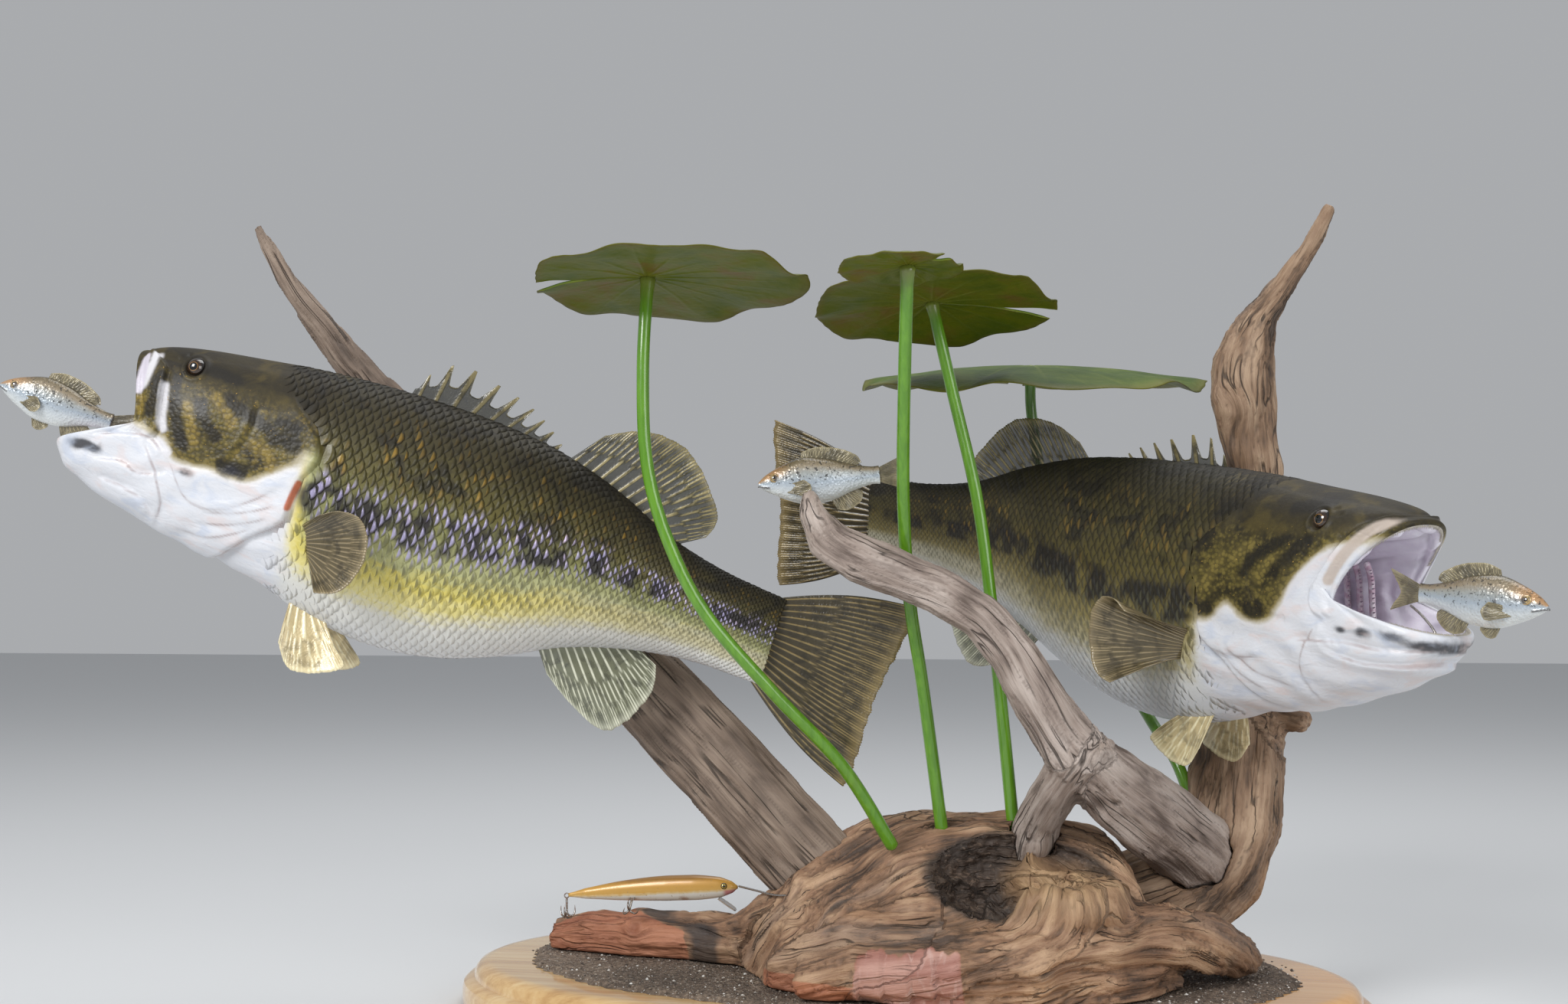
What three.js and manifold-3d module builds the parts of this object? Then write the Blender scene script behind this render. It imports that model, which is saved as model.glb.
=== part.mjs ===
// Mounted largemouth bass: two bass and three bait fish on driftwood with lily pads,
// on an oval board. Millimetres, +Z up. The origin is the centre of the board's
// underside; +X runs along the board and +Y goes to its back edge.

import * as THREE from 'three';
import Module from 'manifold-3d';

const wasm = await Module();
wasm.setup();

// ---------------------------------------------------------------- driving dimensions

const GAP = 0.3;                       // clearance between pieces that touch
const DEGREE = Math.PI / 180;

const BOARD = { halfLength: 295, halfWidth: 178, sides: 36 };
const BOARD_PROFILE = [[4, 0], [0, 5], [0, 13], [4, 19], [8, 21], [11, 27], [16, 30]];  // [inset, z]
const SAND = { halfLength: 254, halfWidth: 143, bottom: 30 + GAP, top: 33.5, sides: 28 };
const WOOD_FOOT = SAND.top + GAP;      // height of the driftwood's flat underside
const STAND = [18, -37, 0];            // all that stands on the board is set off its centre by this

// Where each bass stands: its local origin, heading about Z and nose-up pitch, and the
// bend of its back half: `curl` in radians per mm behind `curlStart`, tail lift `rise`.
const LEFT_BASS = {
  origin: [-302, -74, 327], heading: 192, pitch: 18,
  curlStart: -60, curl: -0.0007, rise: 0,
  upperLip: [18, 37], lowerLip: [51, -34], lipSide: 0, bellyDepth: 1, dorsalShift: [0, 0],
  sides: 16, smooth: 1.2,
};
const RIGHT_BASS = {
  origin: [158, 53, 290], heading: -50, pitch: -5,
  curlStart: 100, curl: 0.00192, rise: 12.5,
  upperLip: [36, 39], lowerLip: [60, -24], lipSide: -10, bellyDepth: 1.06, dorsalShift: [20, -8],
  sides: 12, smooth: 1,
};
const CURL_SPAN = 200;                 // length over which `rise` is reached

// Bass body from tail root to gape: place x, then the heights of back, side and belly,
// the half width, the roundness (1 is an ellipse, less is boxier) and how far the back
// and the belly lean forward of x.
const BASS_STATIONS = [
  [-233, 14, -14, -43, 7, 1, 0, 0],
  [-190, 19, -11, -42, 17, 1, 0, 0],
  [-151, 29, -9, -47, 27, 1, 0, 0],
  [-109, 47, -7, -59, 35, 1, 0, 0],
  [-67, 59, -8, -79, 41, 1, 0, 0],
  [-25, 64, -10, -92, 44, 1, 0, 0],
  [18, 65, -10, -95, 45, 1, 0, 0],
  [56, 64, -8, -89, 44, 0.96, 0, 0],
  [94, 61, -5, -78, 43, 0.9, 0, 0],
  [129, 56, -2, -73, 41.5, 0.82, 2, 3],
  [154, 51.5, 0, -66, 39, 0.76, 7, 13],
  [171, 46.5, 0, -58, 36.5, 0.74, 12, 28],
  [180, 41.5, -1, -47, 34.5, 0.76, 16, 46],
];
const LIP_STATION = [183, 37, -3, -34, 33, 0.8, 18, 51];
// The mouth goes back in from the lip, in the same columns.
const MOUTH_STATIONS = [
  [181, 33, -4, -31.5, 30, 0.8, 17, 47],
  [174, 29, -4, -33, 27, 0.82, 12, 36],
  [160, 25, -5, -38, 24.5, 0.9, 5, 18],
  [143, 19, -6, -36, 19, 1, 0, 4],
  [122, 8, -8, -24, 10, 1, 0, 0],
];

const EYE = { x: 159, y: 27.6, z: 36.5, radius: 6.6 };
const TONGUE = { x: 184, z: -33, halfLength: 21, halfWidth: 10, halfHeight: 4 };

// Side-view outlines of the parted pieces of the left bass, [x, z].
const HEAD_OUTLINE = [[97, 90], [90, 58], [77, 32], [63, 7], [67, -14], [76, -38], [92, -50],
  [104, -66], [108, -130], [300, -130], [300, 90]];
const JAW_OUTLINE = [[186, -7], [168, -18], [154, -34], [143, -60], [141, -130], [300, -130], [300, -7]];
const GILL_COVER_OUTLINE = [[112, 30], [92, 27], [66, 8], [69, -13], [78, -36], [93, -46],
  [110, -57], [134, -56], [147, -36], [150, -24], [122, -14], [114, 6]];
const GILL_COVER_DEPTH = 33;           // the covers are what lies further out than this
const STALK_PLANE = -153;              // the tail stalk lies behind this

// Fins of a bass. `base` is the first and last ray's root and `tips` are the ray ends,
// both [x, z] in side view; `root` is the thickness there and `edge` at the tips.
const TAIL_FIN = {
  topRoot: [-226, 12], bottomRoot: [-226, -41], axis: -8, spread: 22, length: 90, fork: 9,
  root: 5, edge: 1.2, rays: 8, steps: 2,
};
const SPINY_DORSAL = {
  base: [[35, 58], [-64, 52]], root: 3, edge: 1,
  tips: [[30, 76], [10, 92], [-20, 87], [-43, 80], [-58, 71], [-70, 61]],
};
const SOFT_DORSAL = {
  base: [[-72, 52], [-155, 24]], root: 3.5, edge: 1,
  tips: [[-92, 77], [-114, 87], [-139, 86.5], [-158, 74], [-176, 50], [-173, 35]],
};
const ANAL_FIN = {
  base: [[-92, -62], [-148, -41]], root: 3.5, edge: 1,
  tips: [[-104, -78], [-124, -91], [-147, -100.5], [-158, -95], [-166, -82], [-171, -66], [-168, -51]],
};
const PECTORAL_FIN = {
  base: [[63, -35], [52, -54]], rootOut: 37, tipOut: 66, root: 3, edge: 1,
  tips: [[48, -25], [36, -18.5], [22, -20], [14, -34], [14, -50], [22, -65], [36, -70]],
};
const PELVIC_FIN = {
  base: [[62, -83], [36, -89]], rootOut: 11, tipOut: 22, root: 3, edge: 1,
  tips: [[58, -109], [50, -120], [42, -123], [29, -120], [17, -114], [15, -109], [24, -101]],
};
// On the right bass the near breast fin stands out further, and the far one is swung
// forward and down by `swing` degrees.
const RIGHT_BREAST_FINS = { near: { tipOut: 82 }, far: { tipOut: 62, swing: 130 } };

// Bait fish from snout to tail root: x, top, bottom, half width.
const BAIT_STATIONS = [[0, 0.8, -1.4, 1], [-5, 5, -5, 3.6], [-14, 9.5, -9.5, 6], [-27, 13.5, -14, 7.5],
  [-42, 12, -13.5, 7], [-56, 7.5, -8.5, 4.4], [-67, 5, -5.5, 2.2], [-73, 5, -5.5, 1.4]];
const BAIT_FISH = {
  left: { snout: [-567, -133, 404], heading: 195, pitch: 19 },
  middle: { snout: [-86, -86, 337], heading: 194, pitch: -5 },
  right: { snout: [345, -159, 264], heading: -39, pitch: -6 },
};
// Wires that hold the outer bait fish, from under their tails to the floor of each mouth.
const BAIT_WIRES = {
  left: [[-509, -117, 376], [-511, -118, 367], [-512, -118, 356]],
  right: [[284, -110, 264.5], [289, -117, 259], [294, -124, 251], [296, -127, 243]],
};

// Driftwood centre lines: [x, y, z, radius].
const PLANK = {
  path: [[-446, -33, 520, 4], [-420, -29, 474, 9], [-396, -26, 446, 11], [-376, -24, 419, 14],
    [-322, -17, 361, 20], [-259, -12, 294, 26], [-166, -5, 197, 31], [-77, -8, 106, 32],
    [-38, -10, 66, 29]],
  flat: 0.42,
};
const FORK = {
  path: [[-54, -93, 332, 4], [-50, -97, 317, 9], [-39, -99, 301, 15], [-18, -97, 289, 16],
    [4, -92, 281, 14.5], [33, -86, 268, 13], [57, -82, 249, 14], [75, -78, 219, 15.5],
    [92, -70, 189, 18], [114, -47, 162, 22], [143, -8, 134, 26], [166, 28, 112, 26],
    [178, 52, 98, 22]],
  flat: 0.85,
};
const FORK_FOOT = { path: [[104, -64, 178, 17], [94, -54, 164, 15], [83, -36, 148, 14],
  [74, -16, 131, 15], [68, -2, 112, 17]] };
const TRUNK = {
  path: [[122, 36, 70, 34], [168, 52, 86, 38], [192, 60, 118, 34], [198, 68, 160, 30], [202, 80, 209, 27],
    [205, 86, 279, 23], [210, 88, 335, 18], [207, 87, 376, 20], [203, 86, 404, 24], [206, 87, 430, 21],
    [215, 86, 455, 13.5], [229, 84, 473, 10.5], [248, 83, 501, 7], [261, 82, 526, 5]],
  flat: 0.85,
};
const TRUNK_STUB = { path: [[215, 74, 196, 9], [240, 62, 189, 7]] };
// The stump, as level slices: [z, centre x, centre y, half length, half width].
const STUMP = [[20, 24, -18, 138, 80], [48, 24, -19, 134, 80], [68, 27, -17, 124, 74],
  [90, 29, -10, 112, 62], [110, 31, 0, 98, 48], [123, 32, 6, 80, 36], [132, 33, 8, 50, 20]];
const STUMP_HOLLOW = { centre: [71, -52, 104], size: [60, 36, 36] };
const LEFT_ARM = { path: [[-254, 33, 43, 11], [-212, 27, 45, 17], [-162, 20, 45, 18], [-115, 10, 45, 20],
  [-72, -8, 62, 32], [0, -15, 80, 44]], flat: 1 };
const FRONT_ARM = { path: [[-60, -84, 42, 14], [-8, -93, 55, 20], [60, -82, 56, 22], [112, -56, 66, 24],
  [158, -20, 66, 21], [186, 12, 54, 17], [199, 40, 42, 11]], flat: 1 };

// Lily pads: hub, radii, slit direction in degrees, dip of the rim and tilt of the disc.
const PAD_THICKNESS = 1.6;
const PAD_FACING = -78;                // the pads tip their undersides to this direction
const PADS = [
  { hub: [-148, -113, 461], radius: 82, offset: 13, slit: 192, slitWidth: 8, tilt: 6, droop: 5 },
  { hub: [11, -130, 459], radius: 36, offset: 6, slit: 330, slitWidth: 5, tilt: 5, droop: 1.5 },
  { hub: [9, -6, 457.5], radius: 77, offset: -1, slit: 20, slitWidth: 9, tilt: 9, droop: 5 },
  { hub: [60, 141, 433], radius: 121, offset: 2, slit: 100, slitWidth: 7, tilt: -7, droop: 14 },
];
const STEM_RADIUS = 3.9;
const STEM_SHAPE = { steps: 10, sides: 6 };
const STEMS = [
  [[-12, -44, 118], [-38, -70, 168], [-75, -96, 213], [-112, -114, 260], [-134, -120, 305],
    [-146, -121, 350], [-149, -119, 405], [-148, -113, 458.5]],
  [[16, -17, 118], [7, -41, 213], [2, -64, 269], [2, -88, 328], [6, -110, 393], [11, -130, 456.5]],
  [[59, -4, 118], [51, -12, 212], [45, -17, 279], [37, -14, 335], [22, -8, 399], [9, -6, 455]],
  [[172, 62, 122], [159, 70, 160], [140, 93, 190], [114, 124, 233], [88, 143, 291], [68, 147, 350],
    [60, 145, 400], [60, 141, 430.5]],
];

const LURE = { nose: [-123, 16, 80.5], heading: 3, pitch: 4, length: 114, radius: 8.2 };
const LURE_HOOKS = { front: { at: [-70, -5, -4], lean: 58 }, rear: { at: [-115.5, 0, -1.5], lean: 12 } };
const LURE_LEADER = [[-122, 16, 81], [-105, -6, 82], [-88, -27, 83], [-68, -40, 86]];
const WIRE_RADIUS = 0.7;
const HOOK_RADIUS = 0.75;

// ---------------------------------------------------------------- shaping tools

const vector = ([x, y, z]) => new THREE.Vector3(x, y, z);
const lerp = THREE.MathUtils.lerp;
const signedPower = (value, power) => Math.sign(value) * Math.abs(value) ** power;

/** A closed solid from points and triangles, turned so that its faces point out. */
function solidOf(points, triangles) {
  const normal = new THREE.Vector3();
  const volume = triangles.reduce((sum, [a, b, c]) =>
    sum + points[a].dot(normal.crossVectors(points[b], points[c])), 0);
  const facing = volume < 0 ? triangles.map(([a, b, c]) => [a, c, b]) : triangles;
  return new wasm.Manifold(new wasm.Mesh({
    numProp: 3,
    vertProperties: new Float32Array(points.flatMap((p) => [p.x, p.y, p.z])),
    triVerts: new Uint32Array(facing.flat()),
  }));
}

/** A solid skinned over rings of equal length, each end closed by a fan. */
function loft(rings) {
  const count = rings[0].length;
  const points = rings.flat();
  const triangles = [];
  for (let i = 0; i < rings.length - 1; i++) {
    for (let j = 0; j < count; j++) {
      const a = i * count + j;
      const b = i * count + (j + 1) % count;
      triangles.push([a, b, b + count], [a, b + count, a + count]);
    }
  }
  for (const end of [0, rings.length - 1]) {
    const middle = new THREE.Vector3();
    rings[end].forEach((p) => middle.addScaledVector(p, 1 / count));
    points.push(middle);
    for (let j = 0; j < count; j++) {
      const a = end * count + j;
      const b = end * count + (j + 1) % count;
      triangles.push(end ? [a, b, points.length - 1] : [b, a, points.length - 1]);
    }
  }
  return solidOf(points, triangles);
}

/** A plate of varying thickness about the surface at(u, v), with u and v from 0 to 1. */
function plate(nu, nv, at, thickness) {
  const faces = [[], []];
  const step = 1e-3;
  for (let i = 0; i <= nu; i++) {
    for (let j = 0; j <= nv; j++) {
      const u = i / nu;
      const v = j / nv;
      const along = at(Math.min(u + step, 1), v).sub(at(Math.max(u - step, 0), v));
      const across = at(u, Math.min(v + step, 1)).sub(at(u, Math.max(v - step, 0)));
      const half = along.cross(across).normalize().multiplyScalar(thickness(u, v) / 2);
      faces[0].push(at(u, v).add(half));
      faces[1].push(at(u, v).sub(half));
    }
  }
  const count = faces[0].length;
  const index = (side, i, j) => side * count + i * (nv + 1) + j;
  const triangles = [];
  const quad = (a, b, c, d) => triangles.push([a, b, c], [a, c, d]);
  for (let i = 0; i < nu; i++) {
    for (let j = 0; j < nv; j++) {
      quad(index(0, i, j), index(0, i + 1, j), index(0, i + 1, j + 1), index(0, i, j + 1));
      quad(index(1, i, j), index(1, i, j + 1), index(1, i + 1, j + 1), index(1, i + 1, j));
    }
    quad(index(0, i, 0), index(1, i, 0), index(1, i + 1, 0), index(0, i + 1, 0));
    quad(index(0, i, nv), index(0, i + 1, nv), index(1, i + 1, nv), index(1, i, nv));
  }
  for (let j = 0; j < nv; j++) {
    quad(index(0, 0, j), index(0, 0, j + 1), index(1, 0, j + 1), index(1, 0, j));
    quad(index(0, nu, j), index(1, nu, j), index(1, nu, j + 1), index(0, nu, j + 1));
  }
  return solidOf(faces.flat(), triangles);
}

/** A rod or branch along [x, y, z, radius] stations, flattened towards the front. */
function branch({ path, flat = 1 }, { steps = 14, sides = 10, grow = 0, knots = 0 } = {}) {
  const curve = new THREE.CatmullRomCurve3(path.map(vector), false, 'centripetal');
  const radii = path.map((p) => p[3]);
  const rings = [];
  for (let i = 0; i <= steps; i++) {
    const t = i / steps;
    const slot = Math.min(t * (radii.length - 1), radii.length - 1.001);
    const radius = lerp(radii[Math.floor(slot)], radii[Math.floor(slot) + 1], slot % 1);
    const ahead = curve.getTangent(t);
    const side = new THREE.Vector3(0, -1, 0).cross(ahead).normalize();
    const front = new THREE.Vector3().crossVectors(ahead, side);
    const centre = curve.getPoint(t);
    rings.push(Array.from({ length: sides }, (_, j) => {
      const angle = 2 * Math.PI * j / sides;
      const lump = 1 + knots * (Math.sin(3 * angle + 9 * t) + 0.7 * Math.sin(5 * angle - 14 * t));
      return centre.clone()
        .addScaledVector(side, (radius * lump + grow) * Math.cos(angle))
        .addScaledVector(front, (radius * flat * lump + grow) * Math.sin(angle));
    }));
  }
  return loft(rings);
}

/** A straight-sided block over an [x, z] outline between two y values. */
function prism(outline, from, to, grow = 0) {
  const shape = new THREE.Shape(outline.map(([x, z]) => new THREE.Vector2(x, z)));
  const points = shape.getPoints();
  const count = points.length;
  const turn = THREE.ShapeUtils.area(points) < 0 ? -1 : 1;
  const offset = points.map((p, i) => {
    const before = points[(i + count - 1) % count];
    const after = points[(i + 1) % count];
    const a = new THREE.Vector2(p.y - before.y, before.x - p.x).normalize();
    const b = new THREE.Vector2(after.y - p.y, p.x - after.x).normalize();
    return p.clone().addScaledVector(a.add(b).normalize(), turn * grow);
  });
  const ring = (y) => offset.map((p) => new THREE.Vector3(p.x, y, p.y));
  const faces = THREE.ShapeUtils.triangulateShape(offset, []);
  const triangles = [];
  faces.forEach(([a, b, c]) => triangles.push([a, b, c], [a + count, c + count, b + count]));
  for (let i = 0; i < count; i++) {
    const next = (i + 1) % count;
    triangles.push([i, i + count, next + count], [i, next + count, next]);
  }
  const sides = turn > 0 ? triangles : triangles.map(([a, b, c], i) =>
    (i < 2 * faces.length ? [a, b, c] : [a, c, b]));
  return solidOf([...ring(from), ...ring(to)], sides);
}

function ellipsoid([x, y, z], [a, b, c], columns = 10, rows = 6) {
  const rings = [];
  for (let i = 1; i < rows; i++) {
    const tilt = Math.PI * i / rows;
    rings.push(Array.from({ length: columns }, (_, j) => {
      const angle = 2 * Math.PI * j / columns;
      return new THREE.Vector3(x + a * Math.sin(tilt) * Math.cos(angle),
        y + b * Math.sin(tilt) * Math.sin(angle), z + c * Math.cos(tilt));
    }));
  }
  const pole = (ring, height) => ring.map((p) => new THREE.Vector3(
    lerp(x, p.x, 0.05), lerp(y, p.y, 0.05), height));
  return loft([pole(rings[0], z + c), ...rings, pole(rings.at(-1), z - c)]);
}

const join = (solids) => solids.reduce((all, next) => all.add(next));

/** The largest piece of a solid, without the chips and closed pockets that a cut leaves. */
const largest = (solid) => solid.decompose().sort((a, b) => b.volume() - a.volume())[0];

// ---------------------------------------------------------------- bass

/** Bends a point of the straight fish into the pose's curve. */
function curled(point, fish) {
  const behind = fish.curlStart - point.x;
  if (behind <= 0) return point;
  const angle = fish.curl * behind;
  return new THREE.Vector3(
    fish.curlStart - Math.sin(angle) / fish.curl - point.y * Math.sin(angle),
    (Math.cos(angle) - 1) / fish.curl + point.y * Math.cos(angle),
    point.z + fish.rise * (behind / CURL_SPAN) ** 2);
}

/** The fish's lip and mouth stations, with the gape of that fish. */
function gapeStations(fish) {
  const [topLean, top] = fish.upperLip;
  const [bottomLean, bottom] = fish.lowerLip;
  const shifted = (station) => {
    const [x, back, side, belly, width, round, backLean, bellyLean] = station;
    const share = bellyLean / LIP_STATION[7];
    return [x + fish.lipSide * share, back + (top - LIP_STATION[1]) * share, side,
      belly * lerp(fish.bellyDepth, 1, share) + (bottom - LIP_STATION[3]) * share,
      width, round, backLean * topLean / LIP_STATION[6], bellyLean * bottomLean / LIP_STATION[7]];
  };
  return {
    outer: [...BASS_STATIONS.map(shifted), shifted(LIP_STATION)],
    inner: MOUTH_STATIONS.map(shifted),
  };
}

/** A smooth station at place t of a list of stations. */
function stationAt(stations, t) {
  const i = Math.min(Math.floor(t), stations.length - 2);
  const at = (k) => stations[THREE.MathUtils.clamp(k, 0, stations.length - 1)];
  const f = t - i;
  return stations[0].map((_, column) => {
    const [a, b, c, d] = [at(i - 1), at(i), at(i + 1), at(i + 2)].map((s) => s[column]);
    return b + 0.5 * f * (c - a + f * (2 * a - 5 * b + 4 * c - d + f * (3 * (b - c) + d - a)));
  });
}

/** A point of a station's ring: angle 0 is the back, a quarter turn the left side. */
function ringPoint(station, angle, grow = 0) {
  const [x, back, side, belly, width, round, backLean, bellyLean] = station;
  const lift = signedPower(Math.cos(angle), round);
  const reach = lift > 0 ? back + grow - side : side - belly + grow;
  const lean = Math.abs(lift) * (lift > 0 ? backLean : bellyLean);
  return new THREE.Vector3(x + lean, (width + grow) * signedPower(Math.sin(angle), round),
    side + reach * lift);
}

function ringOf(station, fish, grow) {
  return Array.from({ length: fish.sides }, (_, j) =>
    curled(ringPoint(station, 2 * Math.PI * j / fish.sides, grow), fish));
}

/** The whole body: skin, lips and the hollow of the mouth. */
function bassBody(fish, grow = 0) {
  const { outer, inner } = gapeStations(fish);
  const rings = [];
  const steps = Math.round((outer.length - 1) * fish.smooth);
  for (let i = 0; i <= steps; i++) {
    rings.push(ringOf(stationAt(outer, (outer.length - 1) * i / steps), fish, grow));
  }
  inner.forEach((station) => rings.push(ringOf(station, fish, -grow)));
  return loft(rings);
}

/** A fin whose rays run from a base line to a list of tips; out gives the y of each end. */
function rayFin({ base, tips, root, edge, rootOut = 0, tipOut = 0, swing = 0, rays = 5, steps = 2 },
  fish, side = 0, [shiftX, shiftZ] = [0, 0]) {
  const pivot = new THREE.Vector2(...base[0]).lerp(new THREE.Vector2(...base[1]), 0.5);
  const tipCurve = new THREE.CatmullRomCurve3(tips.map(([x, z]) => {
    const tip = new THREE.Vector2(x, z).rotateAround(pivot, swing * DEGREE);
    return new THREE.Vector3(tip.x, 0, tip.y);
  }), false, 'centripetal');
  const roots = base.map(([x, z]) => new THREE.Vector2(x, z).rotateAround(pivot, swing * DEGREE));
  const at = (u, v) => {
    const tip = tipCurve.getPoint(u);
    return curled(new THREE.Vector3(lerp(lerp(roots[0].x, roots[1].x, u), tip.x, v) + shiftX,
      side * lerp(rootOut, tipOut, v ** 0.8),
      lerp(lerp(roots[0].y, roots[1].y, u), tip.z, v) + shiftZ), fish);
  };
  return plate(rays, steps, at, (u, v) => lerp(root, edge, v));
}

function tailFin(fish) {
  const { topRoot, bottomRoot, axis, spread, length, fork, root, edge, rays, steps } = TAIL_FIN;
  const at = (u, v) => {
    const angle = (180 - axis - spread * (1 - 2 * u)) * DEGREE;
    const reach = v * (length - fork * Math.sin(Math.PI * u) ** 1.5);
    const belly = 5 * Math.sin(Math.PI * v) * (1 - 2 * u);
    return curled(new THREE.Vector3(
      lerp(topRoot[0], bottomRoot[0], u) + reach * Math.cos(angle), 0,
      lerp(topRoot[1], bottomRoot[1], u) + reach * Math.sin(angle) + belly), fish);
  };
  return plate(rays, steps, at, (u, v) => lerp(root, edge, v ** 0.7));
}

/** The long bone of the upper jaw, lying on the side of the gape. */
function maxilla(fish, side, grow = 0) {
  const { outer } = gapeStations(fish);
  const last = outer.length - 1;
  const at = (u, v) => {
    const station = stationAt(outer, last - 0.15 + 0.3 * grow - v * (lerp(1.5, 2.2, u) + 0.6 * grow));
    const angle = (lerp(28, 97, u) + 3 * grow * Math.trunc(2 * u - 1)) * DEGREE;
    return curled(ringPoint(station, side * angle, 0.9), fish);
  };
  return plate(4, 1, at, () => 3.4 + 4 * grow);
}

function eyeball(side, grow = 0) {
  const size = EYE.radius + grow;
  return ellipsoid([EYE.x, side * EYE.y, EYE.z], [size, size, size], 8, 5);
}

function bassFins(fish, breast = { near: {}, far: {} }) {
  return {
    tail_fin: tailFin(fish),
    spiny_dorsal_fin: rayFin(SPINY_DORSAL, fish, 0, fish.dorsalShift),
    soft_dorsal_fin: rayFin(SOFT_DORSAL, fish, 0, fish.dorsalShift),
    anal_fin: rayFin(ANAL_FIN, fish),
    pectoral_fin_left: rayFin({ ...PECTORAL_FIN, ...breast.far }, fish, 1),
    pectoral_fin_right: rayFin({ ...PECTORAL_FIN, ...breast.near }, fish, -1),
    pelvic_fin_left: rayFin(PELVIC_FIN, fish, 1),
    pelvic_fin_right: rayFin(PELVIC_FIN, fish, -1),
  };
}

function tongueOf({ x, z, halfLength, halfWidth, halfHeight } = TONGUE) {
  return ellipsoid([x, 0, z], [halfLength, halfWidth, halfHeight], 10, 5);
}

/** The left bass parted at its gill line, jaw hinge, gill covers and tail stalk. */
function partedBass(fish) {
  const body = bassBody(fish);
  const grown = bassBody(fish, GAP);
  const wide = 120;
  const head = body.intersect(prism(HEAD_OUTLINE, -wide, wide));
  const behindHead = body.subtract(prism(HEAD_OUTLINE, -wide - 1, wide + 1, GAP));
  const stalkOutline = [[STALK_PLANE, 120], [STALK_PLANE, -150], [-400, -150], [-400, 120]];
  const pieces = {
    trunk: behindHead.subtract(prism(stalkOutline, -wide, wide, GAP)),
    tail_stalk: behindHead.intersect(prism(stalkOutline, -wide, wide)),
    lower_jaw: head.intersect(prism(JAW_OUTLINE, -wide, wide)),
    tongue: tongueOf().subtract(grown),
  };
  let skull = head.subtract(prism(JAW_OUTLINE, -wide, wide, GAP));
  for (const [name, side] of [['left', 1], ['right', -1]]) {
    const edges = [side * GILL_COVER_DEPTH, side * wide].sort((a, b) => a - b);
    const loose = [side * (GILL_COVER_DEPTH - GAP), side * wide].sort((a, b) => a - b);
    pieces[`gill_cover_${name}`] = skull.intersect(prism(GILL_COVER_OUTLINE, ...edges));
    skull = skull.subtract(prism(GILL_COVER_OUTLINE, ...loose, GAP));
    pieces[`maxilla_${name}`] = maxilla(fish, side);
    skull = skull.subtract(maxilla(fish, side, GAP)).subtract(eyeball(side, GAP));
    pieces.lower_jaw = pieces.lower_jaw.subtract(maxilla(fish, side, GAP));
    pieces[`eye_${name}`] = eyeball(side);
  }
  pieces.head = skull;
  for (const [name, fin] of Object.entries(bassFins(fish))) pieces[name] = fin.subtract(grown);
  return pieces;
}

/** The right bass, joined into one solid, its fins kept clear of the wood. */
function wholeBass(fish, wood) {
  const fins = Object.values(bassFins(fish, RIGHT_BREAST_FINS)).map((fin) => fin.subtract(wood));
  return join([bassBody(fish), ...fins, maxilla(fish, 1), maxilla(fish, -1), eyeball(1), eyeball(-1)]);
}

function bassPlace({ origin, heading, pitch }) {
  const place = new THREE.Group();
  place.position.set(...origin);
  place.rotation.set(0, -pitch * DEGREE, heading * DEGREE, 'ZYX');
  place.updateMatrix();
  return place;
}

// ---------------------------------------------------------------- bait fish

function baitFish() {
  const still = { curlStart: -1000, curl: 1, rise: 0 };
  const sides = 6;
  const rings = BAIT_STATIONS.map(([x, top, bottom, width]) =>
    Array.from({ length: sides }, (_, j) =>
      ringPoint([x, top, 0, bottom, width, 1, 0, 0], 2 * Math.PI * j / sides)));
  const thin = { root: 1.4, edge: 0.8, rays: 2, steps: 1 };
  const fin = (base, tips, out = {}, side = 0) => rayFin({ base, tips, ...thin, ...out }, still, side);
  const paired = { rootOut: 4.5, tipOut: 10 };
  return join([
    loft(rings),
    fin([[-71, 3.5], [-71, -4]], [[-92, 12], [-89, 6], [-86, 0], [-88, -6], [-91, -11.5]]),
    fin([[-26, 11], [-57, 5]], [[-27, 17], [-36, 19.5], [-49, 18], [-60, 13], [-63, 8]]),
    fin([[-42, -11], [-58, -6]], [[-46, -19], [-53, -20], [-61, -15], [-62, -9]]),
    fin([[-24, -10], [-29, -10]], [[-27, -19], [-31, -20], [-36, -17], [-36, -14]]),
    fin([[-17, -2], [-17, -7]], [[-27, 0], [-31, -4], [-30, -9], [-26, -10]], paired, 1),
    fin([[-17, -2], [-17, -7]], [[-27, 0], [-31, -4], [-30, -9], [-26, -10]], paired, -1),
  ]);
}

// ---------------------------------------------------------------- driftwood

function stump() {
  const count = 18;
  const rings = STUMP.map(([z, x, y, a, b], level) => Array.from({ length: count }, (_, j) => {
    const angle = 2 * Math.PI * j / count;
    const lobe = 1 + 0.05 * Math.sin(3 * angle + 1.3 * level) + 0.035 * Math.sin(7 * angle - 0.6 * level);
    return new THREE.Vector3(x + a * lobe * Math.cos(angle), y + b * lobe * Math.sin(angle), z);
  }));
  return loft(rings);
}

function driftwoodRoot() {
  const half = 400;
  const ground = prism([[-half, -half], [half, -half], [half, WOOD_FOOT], [-half, WOOD_FOOT]], -half, half);
  return join([
    stump(),
    branch(LEFT_ARM, { steps: 7, sides: 8, knots: 0.05 }),
    branch(FRONT_ARM, { steps: 8, sides: 8, knots: 0.05 }),
  ]).subtract(ellipsoid(STUMP_HOLLOW.centre, STUMP_HOLLOW.size, 12, 6)).subtract(ground);
}

// ---------------------------------------------------------------- lily pads and stems

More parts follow.
